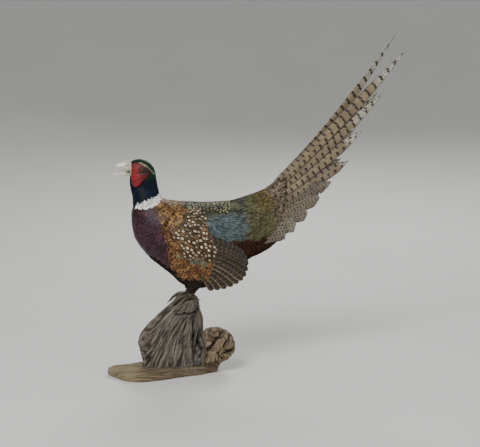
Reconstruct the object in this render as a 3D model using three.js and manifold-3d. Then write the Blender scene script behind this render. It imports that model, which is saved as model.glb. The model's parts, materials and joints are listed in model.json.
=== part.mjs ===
// A taxidermy ring-necked pheasant cock on a driftwood mount, life size, in millimetres, +Z up.
// The bird faces -X, its left side faces -Y, and the origin lies on the mount's flat underside.
import * as THREE from "three";
import { mergeVertices } from "three/addons/utils/BufferGeometryUtils.js";
import Module from "manifold-3d";

const wasm = await Module();
wasm.setup();

// ---- Driving dimensions -------------------------------------------------------------------------

const GAP = 0.3; // clearance between neighbouring solids

// Facets: points round a section and sections along a shape.
const FACETS = {
  body: { sides: 20, rings: 30 },
  eye: { sides: 10, rings: 8 },
  bill: { sides: 10, rings: 7 },
  wing: { sides: 14, rings: 10 },
  quills: { rings: 5 },
  centralTail: { rings: 8 },
  outerTail: { rings: 5 },
  thigh: { sides: 12, rings: 5 },
  shank: { sides: 8, rings: 4 },
  spur: { sides: 6, rings: 4 },
  toe: { sides: 6, rings: 6 },
  slab: { sides: 26, rings: 10 },
  knob: { sides: 16, rings: 8 },
  crease: { sides: 8, rings: 6 },
};
const OUTLINE_POINTS = { wattle: 16, board: 26 };
const FLANK_STEPS = 240; // how finely the body's sections are searched for its width

// Cross-sections of head, neck and body. Each runs from a point on the front or belly line to a
// point on the nape or back line: [frontX, frontZ, backX, backZ, halfWidth, egg]. A positive egg
// narrows the front or belly side.
const STATIONS = [
  [-70, 454.5, -55, 456.0, 4, 0],
  [-77, 451.5, -45, 453.0, 9, 0.2],
  [-79, 446.0, -37, 448.0, 13, 0.25],
  [-80, 438.0, -30, 440.0, 16.5, 0.22],
  [-80, 428.0, -26, 431.0, 18.5, 0.18],
  [-80, 415.0, -23.5, 418.0, 20, 0.1],
  [-79.5, 403.0, -21.5, 407.0, 21, 0.04],
  [-78, 392.0, -19, 397.0, 22.5, 0],
  [-76, 382.0, -16.5, 388.0, 25, 0],
  [-75.5, 370.5, -12, 377.5, 28.5, 0],
  [-77, 356.0, -1, 371.5, 34.5, 0],
  [-78.5, 338.0, 18, 368.5, 42, 0],
  [-77.5, 315.0, 44, 366.5, 50.5, 0.02],
  [-72, 292.0, 70, 365.0, 56.5, 0.04],
  [-58, 270.0, 92, 365.0, 60.5, 0.06],
  [-36, 245.0, 113, 366.0, 62.5, 0.08],
  [-2, 217.0, 133, 368.5, 63.5, 0.08],
  [31, 187.0, 150, 373.0, 63, 0.06],
  [66, 181.0, 165, 378.0, 60, 0.04],
  [104, 192.0, 179, 382.5, 55, 0.02],
  [138, 219.0, 191, 387.0, 48.5, 0],
  [165, 239.0, 202, 391.0, 42, 0],
  [189, 249.0, 212, 397.5, 37, 0],
  [210, 260.0, 222, 405.0, 33, 0],
  [226, 273.0, 231, 411.0, 29, 0],
];

// Thin cuts that part the body: a point low on the front line and a point on the back line.
const HEAD_CUT = [-80, 399.5, -22, 407.5];
const COLLAR_TOP_CUT = [-76, 375, -17, 388];
const COLLAR_BOTTOM_CUT = [-77, 358, -10, 374];
const RUMP_CUT = [128, 213, 190, 387];

const EYE = { x: -55, y: 14.9, z: 436, radius: 5.1 };

// Bill sections: [x, topZ, bottomZ, halfWidth].
const UPPER_BILL = [
  [-76, 450.5, 434, 8.6],
  [-82, 451, 435, 8.2],
  [-88, 451.2, 438, 7.2],
  [-95, 450.4, 440.8, 5.8],
  [-102, 448.2, 442, 3.9],
  [-107, 444.8, 441.4, 1.8],
];
const LOWER_BILL = [
  [-76, 428.5, 421.5, 7.8],
  [-82, 428.2, 422.3, 7.6],
  [-89, 430.8, 423.4, 6.6],
  [-97, 431, 424, 5.2],
  [-105, 429.2, 424.4, 3.6],
  [-112.5, 426.2, 424.6, 1.3],
];
const TONGUE = [
  [-76, 432.6, 429.4, 4.2],
  [-86, 434.4, 431, 4.4],
  [-96, 436.8, 433.6, 3.6],
  [-104, 437.4, 435.4, 2.2],
  [-108.5, 437.5, 436.3, 1],
];

const BILL_WAIST = 0.3; // height of a bill section's widest point, as a share of its depth

// Bare red face patch: its outline in side view, its thickness, and its distance from the midline.
const WATTLE_OUTLINE = [
  [-80, 449], [-66, 450.5], [-53, 445], [-41, 434], [-42, 425],
  [-53, 415], [-61, 405], [-71, 401], [-78, 408], [-81, 430],
];
const WATTLE = { thickness: 1.8, innerY: 9.2, outerY: 40 };

// Folded wing: paired points on its upper and lower edge in side view, and how far it stands out.
// [upperX, upperZ, lowerX, lowerZ, thickness]
const WING_STATIONS = [
  [-15, 331, -17, 317, 3],
  [3, 351, -8, 293, 7],
  [26, 354, 12, 269, 9],
  [49, 342, 30, 250, 10],
  [68, 323, 46, 231, 10],
  [82, 303, 60, 212, 9],
  [96, 284, 74, 199, 6],
];
const WING = { leastY: 45, innerSink: 3 }; // it hangs clear of the narrowing belly

// Flight feathers of one wing, from the upper to the lower: root line and tip curve in side view.
const QUILL_ROOTS = { top: [96.8, 283.8], bottom: [74.8, 198.8] }; // just past the wing's end
const QUILL_TIPS = [[156, 256], [162, 228], [146, 200], [112, 186], [84, 187]];
const QUILL = {
  count: 8,
  notch: 0.1, // depth of the gaps between the tips, as a share of the length
  overBody: 5,
  tipOverBody: 2,
  leastY: 46,
  tipY: 43,
  thickness: 1.6,
  tipThinning: 0.4,
  pleat: 0.5,
};

// Tail: nine feathers a side, from the long central pair (first) to the short outer pair.
const TAIL_X = 228; // where the feathers leave the coverts
const TAIL_TOP_Z = 397;
const TAIL_STEP_Z = 13.2;
const TAIL_SIDE = { first: 4.5, step: 2.7 };
const TAIL_TIPS = [
  [501, 14, 674], [452, 17, 586], [405, 22, 506], [379, 27, 441], [343, 31, 397],
  [319, 34, 366], [293, 36, 333], [268, 37, 309], [244, 37, 290],
];
const FAR_CENTRAL_TIP = [487, 16, 705]; // the right central feather is set a little steeper
const TAIL_RISE = { central: 41, outer: 14 }; // degrees, where the feathers leave the coverts
const TAIL_LEAN = 27; // degrees that each feather's flat side leans outward
const TAIL_BEND = 0.38; // how far along a feather its curve leaves the first direction
const TAIL_CENTRAL = { halfWidth: 11.5, taperFrom: 0.62, taperPower: 1.4 };
const TAIL_OUTER = { halfWidth: 13.5, taperFrom: 0.5, taperPower: 2.6 };
const TAIL_LONG = 3; // this many feathers a side are long enough to need more sections
const TAIL_VANE = {
  thickness: 1.6,
  tipThinning: 0.35,
  edgeShare: 0.55, // thickness at the vane's edge, as a share of that at the shaft
  tipShare: 0.1, // width at the tip, as a share of the widest
  rootShare: 0.35,
  rootWidening: 3,
  tipCrowding: 1.35, // sections lie closer together towards the tip
  buried: 34,
  buriedSpread: 0.8,
};
// Sections of the tail root: [x, topZ, bottomZ, topHalfWidth, bottomHalfWidth].
const TAIL_ROOT = [
  [204, 388, 276, 5, 25],
  [228, 401, 283, 5.5, 27.5],
  [246, 408, 292, 5, 26],
];
const TAIL_ROOT_EDGE = { rise: 8, flatShare: 0.7 };

// Legs: side view and distance from midline.
const THIGH = { top: [58, 25, 212, 17], bottom: [42, 19, 180, 9.5] };
const TARSUS = { top: [49, 20.5, 190], bottom: [38, 17, 170], radius: 4.4 };
const TOES = {
  middle: [[40, 17, 169], [29, 18, 171], [20, 19, 169.5], [10, 19.5, 162], [2, 19.5, 153]],
  inner: [[40, 16, 169], [31, 10, 170.5], [22, 6.5, 168.5], [13, 5, 160.5]],
  outer: [[40, 18, 169], [32, 26, 169.5], [25, 31, 167], [18, 34, 160]],
  hind: [[38, 17, 169], [50, 16.5, 168], [59, 16, 161.5]],
};
const TOE_RADIUS = { base: 4.2, tip: 0.9 };
const SPUR = { from: [41, 17.8, 175], to: [53, 14, 177], radius: 2.4, tipRadius: 0.5 };

// Driftwood: a fan-shaped upright slab, a curled knob and a flat board, all one piece of wood.
// Slab and knob sections: [z, leftX, rightX, halfDepth, midY].
const SLAB = [
  [-2, -60, 62, 27, 16],
  [34, -55, 55, 26, 14],
  [58, -62, 59, 27, 11],
  [79, -68, 67, 28, 8],
  [104, -52, 71, 30, 4],
  [124, -31, 68, 32, 1],
  [142, -9, 65, 34, 0],
  [156, 11, 61, 36, 0],
  [164.5, 24, 57, 33, 0],
];
const KNOB = [
  [-2, 48, 104, 22, 18],
  [20, 48, 111, 25, 14],
  [32, 48, 130, 29, 8],
  [46, 50, 139, 31, 5],
  [63, 55, 142, 31, 3],
  [82, 66, 132, 27, 2],
  [92, 74, 116, 20, 2],
  [97, 84, 102, 8, 2],
];
const FURROWS = { count: 9, depth: 0.035, twist: 5 };
const TIMBER_POWER = 2.6; // 2 gives round timber, more gives squarer timber
const BOARD_OUTLINE = [
  [-127, 30], [-123, 14], [-112, -6], [-95, -31], [-70, -43], [-40, -41], [-5, -32], [30, -22],
  [62, -16], [86, -4], [103, 20], [98, 44], [66, 55], [20, 62], [-40, 66], [-85, 56], [-115, 46],
];
const BOARD = { height: 15, bevel: 3, footInset: 1.5 };
const KNOB_CREASE = { path: [[118, -30, 84], [104, -32, 70], [84, -30, 50]], radius: 7 };

const FINISH = {
  crown: [0x1f4033, 0.45],
  neck: [0x12233c, 0.35],
  collar: [0xe9e9e4, 0.8],
  trunk: [0xa8642c, 0.7],
  rump: [0x6d7a6c, 0.75],
  wing: [0xa07a4d, 0.7],
  quill: [0x57483a, 0.7],
  tail: [0x8f7a5b, 0.7],
  wattle: [0x9f1624, 0.5],
  bill: [0xd8cfae, 0.45],
  tongue: [0xc9b48c, 0.5],
  eye: [0x1c0f08, 0.08],
  leg: [0x6f6656, 0.6],
  thigh: [0x2d211a, 0.8],
  wood: [0x84705a, 0.9],
};

// ---- Solid helpers ------------------------------------------------------------------------------

function signedVolume(positions, index) {
  const [a, b, c] = [new THREE.Vector3(), new THREE.Vector3(), new THREE.Vector3()];
  let total = 0;
  for (let i = 0; i < index.length; i += 3) {
    a.fromArray(positions, 3 * index[i]);
    b.fromArray(positions, 3 * index[i + 1]);
    c.fromArray(positions, 3 * index[i + 2]);
    total += a.dot(b.cross(c));
  }
  return total / 6;
}

// A closed indexed triangle list becomes a solid with its faces pointing out.
function solid(positions, index) {
  const vertProperties = Float32Array.from(positions);
  const triVerts = Uint32Array.from(index);
  if (signedVolume(vertProperties, triVerts) < 0) triVerts.reverse();
  return new wasm.Manifold(new wasm.Mesh({ numProp: 3, vertProperties, triVerts }));
}

function solidFromGeometry(geometry) {
  geometry.deleteAttribute("normal");
  geometry.deleteAttribute("uv");
  const merged = mergeVertices(geometry, 1e-4);
  return solid(merged.attributes.position.array, merged.index.array);
}

// Rings of equally many points become one solid, closed by a fan at each end.
function loft(rings) {
  const sides = rings[0].length;
  const positions = rings.flat().flatMap((p) => p.toArray());
  const index = [];
  for (let r = 0; r + 1 < rings.length; r++) {
    for (let k = 0; k < sides; k++) {
      const a = r * sides + k;
      const b = r * sides + ((k + 1) % sides);
      index.push(a, b, b + sides, a, b + sides, a + sides);
    }
  }
  for (const [r, flip] of [[0, true], [rings.length - 1, false]]) {
    const centre = new THREE.Vector3();
    rings[r].forEach((p) => centre.addScaledVector(p, 1 / sides));
    const hub = positions.length / 3;
    positions.push(...centre.toArray());
    for (let k = 0; k < sides; k++) {
      const a = r * sides + k;
      const b = r * sides + ((k + 1) % sides);
      index.push(...(flip ? [hub, b, a] : [hub, a, b]));
    }
  }
  return solid(positions, index);
}

// Two sheets of equally many points, given as rows, become one plate with rims between them.
function plate(outer, inner) {
  const [rows, columns] = [outer.length, outer[0].length];
  const positions = [...outer.flat(), ...inner.flat()].flatMap((p) => p.toArray());
  const index = [];
  const quad = (a, b, c, d) => index.push(a, b, c, a, c, d);
  const at = (sheet, r, c) => (sheet * rows + r) * columns + c;
  for (let r = 0; r + 1 < rows; r++) {
    for (let c = 0; c + 1 < columns; c++) {
      quad(at(0, r, c), at(0, r, c + 1), at(0, r + 1, c + 1), at(0, r + 1, c));
      quad(at(1, r, c), at(1, r + 1, c), at(1, r + 1, c + 1), at(1, r, c + 1));
    }
    quad(at(0, r, 0), at(0, r + 1, 0), at(1, r + 1, 0), at(1, r, 0));
    quad(at(0, r, columns - 1), at(1, r, columns - 1), at(1, r + 1, columns - 1), at(0, r + 1, columns - 1));
  }
  for (let c = 0; c + 1 < columns; c++) {
    quad(at(0, 0, c), at(1, 0, c), at(1, 0, c + 1), at(0, 0, c + 1));
    quad(at(0, rows - 1, c), at(0, rows - 1, c + 1), at(1, rows - 1, c + 1), at(1, rows - 1, c));
  }
  return solid(positions, index);
}

function smoothTable(rows) {
  const width = rows[0].length;
  const curves = [];
  for (let c = 0; c < width; c += 3) {
    const points = rows.map((row) => new THREE.Vector3(row[c], row[c + 1] ?? 0, row[c + 2] ?? 0));
    curves.push(new THREE.CatmullRomCurve3(points));
  }
  return (t) => curves.flatMap((curve) => curve.getPoint(t).toArray()).slice(0, width);
}

function ramp(count, make) {
  return Array.from({ length: count }, (_, i) => make(i / (count - 1), i));
}

function turn(sides, make) {
  return Array.from({ length: sides }, (_, k) => make((2 * Math.PI * k) / sides));
}

// A round rod of changing radius along a smooth curve through the given points.
function rod(points, radii, { sides, rings }, grow = 0) {
  const path = new THREE.CatmullRomCurve3(points.map((p) => new THREE.Vector3(...p)));
  const frames = path.computeFrenetFrames(rings - 1);
  return loft(ramp(rings, (t, i) => {
    const centre = path.getPointAt(t);
    const radius = THREE.MathUtils.lerp(radii[0], radii[1], t) + grow;
    return turn(sides, (a) => centre.clone()
      .addScaledVector(frames.normals[i], radius * Math.cos(a))
      .addScaledVector(frames.binormals[i], radius * Math.sin(a)));
  }));
}

const mirrored = (points, side) => points.map(([x, y, z]) => [x, side * y, z]);

// Keeps what lies on the tail side (keep = 1) or the bill side (keep = -1) of a cut line.
function trimmed(body, cut, keep) {
  const [frontX, frontZ, backX, backZ] = cut;
  const normal = new THREE.Vector3(frontZ - backZ, 0, backX - frontX).normalize();
  const offset = normal.x * frontX + normal.z * frontZ;
  const facing = -keep;
  return body.trimByPlane([facing * normal.x, 0, facing * normal.z], facing * offset + GAP / 2);
}

// ---- Body ---------------------------------------------------------------------------------------

const station = smoothTable(STATIONS);

function bodyRing(t, grow) {
  const [frontX, frontZ, backX, backZ, halfWidth, egg] = station(t);
  const half = Math.hypot(frontX - backX, frontZ - backZ) / 2;
  const stretch = 0.5 * (1 + grow / half);
  return turn(FACETS.body.sides, (a) => new THREE.Vector3(
    (frontX + backX) / 2 + (frontX - backX) * stretch * Math.cos(a),
    (halfWidth + grow) * Math.sin(a) * (1 - egg * Math.cos(a)),
    (frontZ + backZ) / 2 + (frontZ - backZ) * stretch * Math.cos(a),
  ));
}

const bodySolid = (grow = 0) => loft(ramp(FACETS.body.rings, (t) => bodyRing(t, grow)));

// Half the body's width at a point of the side view, or 0 outside its outline.
function flank(x, z) {
  let before = null;
  for (let i = 0; i <= FLANK_STEPS; i++) {
    const [frontX, frontZ, backX, backZ, halfWidth, egg] = station(i / FLANK_STEPS);
    const side = (x - frontX) * (backZ - frontZ) - (z - frontZ) * (backX - frontX);
    if (before !== null && before * side <= 0) {
      const length = Math.hypot(backX - frontX, backZ - frontZ);
      const along = ((x - frontX) * (backX - frontX) + (z - frontZ) * (backZ - frontZ)) / length;
      const u = (2 * along) / length - 1;
      if (Math.abs(u) < 1) return halfWidth * Math.sqrt(1 - u * u) * (1 + egg * u);
    }
    before = side;
  }
  return 0;
}

const whole = bodySolid();
const bodyClear = bodySolid(GAP).add(whole.translate([GAP, 0, 0])); // kept clear of its neighbours

// ---- Head parts ---------------------------------------------------------------------------------

function eyeSolid(side, grow = 0) {
  const ball = new THREE.SphereGeometry(EYE.radius + grow, FACETS.eye.sides, FACETS.eye.rings);
  ball.translate(EYE.x, side * EYE.y, EYE.z);
  return solidFromGeometry(ball);
}

// Bill halves and tongue: flat-bottomed sections from base to tip.
function beakSolid(rows) {
  const section = smoothTable(rows);
  return loft(ramp(FACETS.bill.rings, (t) => {
    const [x, top, bottom, halfWidth] = section(t);
    const middle = bottom + BILL_WAIST * (top - bottom);
    return turn(FACETS.bill.sides, (a) => {
      const reach = Math.sin(a) > 0 ? top - middle : middle - bottom;
      return new THREE.Vector3(x, halfWidth * Math.cos(a), middle + reach * Math.sin(a));
    });
  }));
}

// The part of a skin over the face that lies inside the patch's outline in side view.
function wattleSolid(side) {
  const ring = new THREE.CatmullRomCurve3(WATTLE_OUTLINE.map(([x, z]) => new THREE.Vector3(x, 0, z)), true);
  const edge = ring.getPoints(OUTLINE_POINTS.wattle).slice(0, -1);
  const prism = loft([WATTLE.innerY, WATTLE.outerY].map((y) =>
    edge.map((p) => new THREE.Vector3(p.x, side * y, p.z))));
  return bodySolid(WATTLE.thickness).intersect(prism).subtract(bodyClear).subtract(eyeSolid(side, GAP));
}

// ---- Wings --------------------------------------------------------------------------------------

const wingStation = smoothTable(WING_STATIONS);

function wingSolid(side) {
  return loft(ramp(FACETS.wing.rings, (t) => {
    const [upperX, upperZ, lowerX, lowerZ, thickness] = wingStation(t);
    const half = Math.hypot(upperX - lowerX, upperZ - lowerZ) / 2;
    const [dirX, dirZ] = [(upperX - lowerX) / (2 * half), (upperZ - lowerZ) / (2 * half)];
    return turn(FACETS.wing.sides, (a) => {
      const u = Math.cos(a) * half;
      const x = (upperX + lowerX) / 2 + u * dirX;
      const z = (upperZ + lowerZ) / 2 + u * dirZ;
      const lift = Math.sin(a) > 0 ? thickness : WING.innerSink;
      const y = Math.max(flank(x, z), WING.leastY) + lift * Math.sin(a);
      return new THREE.Vector3(x, side * y, z);
    });
  }));
}

// The flight feathers as one thin pleated fan, its edge notched between the feather tips.
function quillFan(side) {
  const tips = new THREE.CatmullRomCurve3(QUILL_TIPS.map(([x, z]) => new THREE.Vector3(x, 0, z)));
  const { top, bottom } = QUILL_ROOTS;
  const columns = 2 * QUILL.count + 1;
  const sheet = (outward) => ramp(FACETS.quills.rings, (along) => {
    const half = (QUILL.thickness * (1 - QUILL.tipThinning * along)) / 2;
    return ramp(columns, (down, column) => {
      const between = column % 2 === 0;
      const reach = along * (between ? 1 - QUILL.notch : 1);
      const tip = tips.getPoint(down);
      const x = THREE.MathUtils.lerp(THREE.MathUtils.lerp(top[0], bottom[0], down), tip.x, reach);
      const z = THREE.MathUtils.lerp(THREE.MathUtils.lerp(top[1], bottom[1], down), tip.z, reach);
      const atRoot = Math.max(flank(x, z) + QUILL.overBody, QUILL.leastY);
      const atTip = Math.max(flank(x, z) + QUILL.tipOverBody, QUILL.tipY);
      const y = THREE.MathUtils.lerp(atRoot, atTip, reach ** 2) + (between ? -QUILL.pleat : QUILL.pleat);
      return new THREE.Vector3(x, side * (y + outward * half), z);
    });
  });
  return plate(sheet(1), sheet(-1));
}

// ---- Tail ---------------------------------------------------------------------------------------

// A flat feather along a curve, widest before `taperFrom` of its length and thickest at its shaft.
// `across` is the direction of its width.
function vane({ curve, across, halfWidth, taperFrom, taperPower, rings }) {
  return loft(ramp(rings, (s) => {
    const t = 1 - (1 - s) ** TAIL_VANE.tipCrowding;
    const centre = curve.getPoint(t);
    const tangent = curve.getTangent(t);
    const wide = across.clone().addScaledVector(tangent, -across.dot(tangent)).normalize();
    const flat = new THREE.Vector3().crossVectors(tangent, wide);
    const taper = Math.max(0, (t - taperFrom) / (1 - taperFrom)) ** taperPower;
    const widening = Math.min(1, TAIL_VANE.rootShare + TAIL_VANE.rootWidening * t);
    const width = halfWidth * (1 - (1 - TAIL_VANE.tipShare) * taper) * widening;
    const shaft = (TAIL_VANE.thickness * (1 - TAIL_VANE.tipThinning * t)) / 2;
    const edge = TAIL_VANE.edgeShare * shaft;
    const profile = [[-1, -edge], [0, -shaft], [1, -edge], [1, edge], [0, shaft], [-1, edge]];
    return profile.map(([w, h]) => centre.clone()
      .addScaledVector(wide, w * width)
      .addScaledVector(flat, h));
  }));
}

// Feather i of one side, counted from the central one. It leaves the coverts along `rise`.
function tailFeather(side, i) {
  const outward = i / (TAIL_TIPS.length - 1);
  const between = (central, outer) => THREE.MathUtils.lerp(central, outer, outward);
  const [tipX, tipY, tipZ] = side > 0 && i === 0 ? FAR_CENTRAL_TIP : TAIL_TIPS[i];
  const rise = THREE.MathUtils.degToRad(between(TAIL_RISE.central, TAIL_RISE.outer));
  const along = new THREE.Vector3(Math.cos(rise), 0, Math.sin(rise));
  const y = side * (TAIL_SIDE.first + TAIL_SIDE.step * i);
  const leaving = new THREE.Vector3(TAIL_X, y, TAIL_TOP_Z - TAIL_STEP_Z * i);
  const root = leaving.clone().addScaledVector(along, -TAIL_VANE.buried);
  root.y = TAIL_VANE.buriedSpread * y;
  const tip = new THREE.Vector3(tipX, side * tipY, tipZ);
  const bend = leaving.clone().addScaledVector(along, TAIL_BEND * leaving.distanceTo(tip));
  const lean = THREE.MathUtils.degToRad(TAIL_LEAN);
  return vane({
    curve: new THREE.QuadraticBezierCurve3(root, bend, tip),
    across: new THREE.Vector3(0, side * Math.sin(lean), -Math.cos(lean)),
    halfWidth: between(TAIL_CENTRAL.halfWidth, TAIL_OUTER.halfWidth),
    taperFrom: between(TAIL_CENTRAL.taperFrom, TAIL_OUTER.taperFrom),
    taperPower: between(TAIL_CENTRAL.taperPower, TAIL_OUTER.taperPower),
    rings: i < TAIL_LONG ? FACETS.centralTail.rings : FACETS.outerTail.rings,
  });
}

// The root that the tail feathers grow from, just past the end of the coverts: a tent in section.
function tailRoot() {
  const { rise, flatShare } = TAIL_ROOT_EDGE;
  return loft(TAIL_ROOT.map(([x, top, bottom, topHalf, bottomHalf]) => [
    [-topHalf, top],
    [topHalf, top],
    [bottomHalf, bottom + rise],
    [flatShare * bottomHalf, bottom],
    [-flatShare * bottomHalf, bottom],
    [-bottomHalf, bottom + rise],
  ].map(([y, z]) => new THREE.Vector3(x, y, z))));
}

function tailSolid() {
  const feathers = [-1, 1].flatMap((side) => TAIL_TIPS.map((_, i) => tailFeather(side, i)));
  return wasm.Manifold.union([...feathers, tailRoot()]).subtract(bodyClear);
}

// ---- Legs ---------------------------------------------------------------------------------------

function thighSolid(side, grow = 0) {
  const [topX, topY, topZ, topRadius] = THIGH.top;
  const [endX, endY, endZ, endRadius] = THIGH.bottom;
  const path = mirrored([[topX, topY, topZ], [endX, endY, endZ]], side);
  return rod(path, [topRadius, endRadius], FACETS.thigh, grow);
}

function tarsusSolid(side, grow = 0) {
  const ends = mirrored([TARSUS.top, TARSUS.bottom], side);
  const shank = rod(ends, [TARSUS.radius, TARSUS.radius], FACETS.shank, grow);
  const spur = rod(mirrored([SPUR.from, SPUR.to], side), [SPUR.radius, SPUR.tipRadius], FACETS.spur, grow);
  return shank.add(spur);
}

function footSolid(side, grow = 0) {
  const toes = Object.values(TOES).map((path) =>
    rod(mirrored(path, side), [TOE_RADIUS.base, TOE_RADIUS.tip], FACETS.toe, grow));
  return wasm.Manifold.union(toes);
}

// ---- Driftwood ----------------------------------------------------------------------------------

// Upright wood from level sections, with furrows running up its faces.
function timber(rows, { sides, rings }) {
  const section = smoothTable(rows);
  return loft(ramp(rings, (t) => {
    const [z, left, right, halfDepth, midY] = section(t);
    return turn(sides, (a) => {
      const furrow = 1 + FURROWS.depth * Math.cos(FURROWS.count * a + FURROWS.twist * t);
      const power = Math.abs(Math.cos(a)) ** TIMBER_POWER + Math.abs(Math.sin(a)) ** TIMBER_POWER;
      const boxy = power ** (-1 / TIMBER_POWER);
      return new THREE.Vector3(
        (left + right) / 2 + ((right - left) / 2) * Math.cos(a) * boxy * furrow,
        midY + halfDepth * Math.sin(a) * boxy * furrow,
        z,
      );
    });
  }));
}

function boardSolid() {
  const ring = new THREE.CatmullRomCurve3(BOARD_OUTLINE.map(([x, y]) => new THREE.Vector3(x, y, 0)), true);
  const edge = ring.getPoints(OUTLINE_POINTS.board).slice(0, -1);
  const { height, bevel, footInset } = BOARD;
  const levels = [[0, footInset], [bevel, 0], [height - bevel, 0], [height, bevel]];
  return loft(levels.map(([z, inset]) => edge.map((p) => {
    const shrink = 1 - inset / Math.hypot(p.x, p.y);
    return new THREE.Vector3(p.x * shrink, p.y * shrink, z);
  })));
}

function driftwoodSolid() {
  const slab = timber(SLAB, FACETS.slab);
  const knob = timber(KNOB, FACETS.knob);
  const crease = rod(KNOB_CREASE.path, [KNOB_CREASE.radius, KNOB_CREASE.radius], FACETS.crease);
  const feet = [-1, 1].map((side) => footSolid(side, GAP).add(tarsusSolid(side, GAP)));
  return wasm.Manifold.union([slab, knob, boardSolid()])
    .trimByPlane([0, 0, 1], 0)
    .subtract(crease)
    .subtract(wasm.Manifold.union(feet));
}

// ---- Assembly -----------------------------------------------------------------------------------

const group = new THREE.Group();

function addPart(name, shape, finish) {
  const { vertProperties, triVerts } = shape.getMesh();
  const geometry = new THREE.BufferGeometry();
  geometry.setAttribute("position", new THREE.BufferAttribute(vertProperties, 3));
  geometry.setIndex(new THREE.BufferAttribute(triVerts, 1));
  const [color, roughness] = FINISH[finish];
  const mesh = new THREE.Mesh(geometry, new THREE.MeshStandardMaterial({ color, roughness, metalness: 0 }));
  mesh.name = name;
  group.add(mesh);
}

const eyeSockets = wasm.Manifold.union([eyeSolid(-1, GAP), eyeSolid(1, GAP)]);
addPart("head", trimmed(whole, HEAD_CUT, -1).subtract(eyeSockets), "crown");
addPart("neck", trimmed(trimmed(whole, HEAD_CUT, 1), COLLAR_TOP_CUT, -1), "neck");
addPart("collar", trimmed(trimmed(whole, COLLAR_TOP_CUT, 1), COLLAR_BOTTOM_CUT, -1), "collar");
addPart("trunk", trimmed(trimmed(whole, COLLAR_BOTTOM_CUT, 1), RUMP_CUT, -1), "trunk");
addPart("rump", trimmed(whole, RUMP_CUT, 1), "rump");
addPart("tail", tailSolid(), "tail");
addPart("upper_bill", beakSolid(UPPER_BILL).subtract(bodyClear), "bill");
addPart("lower_bill", beakSolid(LOWER_BILL).subtract(bodyClear), "bill");
addPart("tongue", beakSolid(TONGUE).subtract(bodyClear), "tongue");

for (const [label, side] of [["left", -1], ["right", 1]]) {
  addPart(`eye_${label}`, eyeSolid(side), "eye");
  addPart(`wattle_${label}`, wattleSolid(side), "wattle");
  addPart(`wing_${label}`, wingSolid(side).subtract(bodyClear), "wing");
  addPart(`flight_feathers_${label}`, quillFan(side), "quill");
  addPart(`thigh_${label}`, thighSolid(side).subtract(bodyClear), "thigh");
  addPart(`leg_${label}`, tarsusSolid(side).subtract(bodyClear).subtract(thighSolid(side, GAP)), "leg");
  addPart(`foot_${label}`, footSolid(side).subtract(tarsusSolid(side, GAP)), "leg");
}
addPart("driftwood", driftwoodSolid(), "wood");

export default group;
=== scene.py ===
"""A taxidermy ring-necked pheasant cock on driftwood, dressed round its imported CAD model.

Lengths in the tables are in millimetres, in the frame's axes: the bird faces -X, its left side
faces -Y and +Z is up. They become metres where a mesh is made.
"""

import math
from collections import namedtuple

import bmesh
import bpy
import numpy as np
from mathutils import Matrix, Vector, noise
from mathutils.bvhtree import BVHTree
from mathutils.kdtree import KDTree
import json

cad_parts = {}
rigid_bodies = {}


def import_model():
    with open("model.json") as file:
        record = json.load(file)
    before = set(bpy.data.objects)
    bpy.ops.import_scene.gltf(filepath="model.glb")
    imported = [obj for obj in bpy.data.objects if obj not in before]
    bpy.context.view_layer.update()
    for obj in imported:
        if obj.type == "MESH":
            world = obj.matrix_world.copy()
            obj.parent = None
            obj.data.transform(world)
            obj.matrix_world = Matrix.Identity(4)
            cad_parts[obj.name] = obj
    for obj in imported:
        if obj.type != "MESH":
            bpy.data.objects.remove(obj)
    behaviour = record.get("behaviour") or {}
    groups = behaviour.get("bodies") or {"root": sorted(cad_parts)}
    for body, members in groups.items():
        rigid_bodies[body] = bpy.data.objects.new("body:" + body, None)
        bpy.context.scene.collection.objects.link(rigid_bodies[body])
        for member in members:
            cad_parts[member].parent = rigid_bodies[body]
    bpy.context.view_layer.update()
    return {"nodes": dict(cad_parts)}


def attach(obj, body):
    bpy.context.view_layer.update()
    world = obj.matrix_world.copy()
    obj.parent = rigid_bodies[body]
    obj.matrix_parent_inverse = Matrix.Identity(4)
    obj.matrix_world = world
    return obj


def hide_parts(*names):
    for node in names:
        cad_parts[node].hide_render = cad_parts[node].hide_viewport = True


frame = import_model()

MM = 0.001
SEED = 11
SIDES = (-1, 1)  # left, right
SIDE_NAMES = {-1: "left", 1: "right"}

# ---- Driving dimensions -------------------------------------------------------------------------

CAMERA = {"place": (-338.7, -2300.5, 689.7), "aim": (154.1, 18.1, 314.2), "lens": 85.714, "sensor": 36}
# Studio lamps: place, size and power, all aimed at one point. Lengths in metres.
LAMPS = {
    "key": ((-1.3, -1.9, 2.1), 1.3, 72),
    "fill": ((1.9, -1.5, 1.2), 1.8, 14),
    "rim": ((0.9, 1.9, 1.9), 1.4, 34),
}
LAMP_AIM = (0.1, 0, 0.3)
SKY = {"Color": 0xE4E6EA, "Strength": 0.5}
# Radius and height of the studio floor's rings: flat, then curving up into a wall all round.
FLOOR_PROFILE = [
    (300, 0), (1300, 0), (2200, 50), (3200, 230), (4300, 650), (5300, 1400), (6100, 2450), (6600, 3800),
    (6900, 5500), (7000, 9000),
]
FLOOR_SIDES = 96

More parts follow.
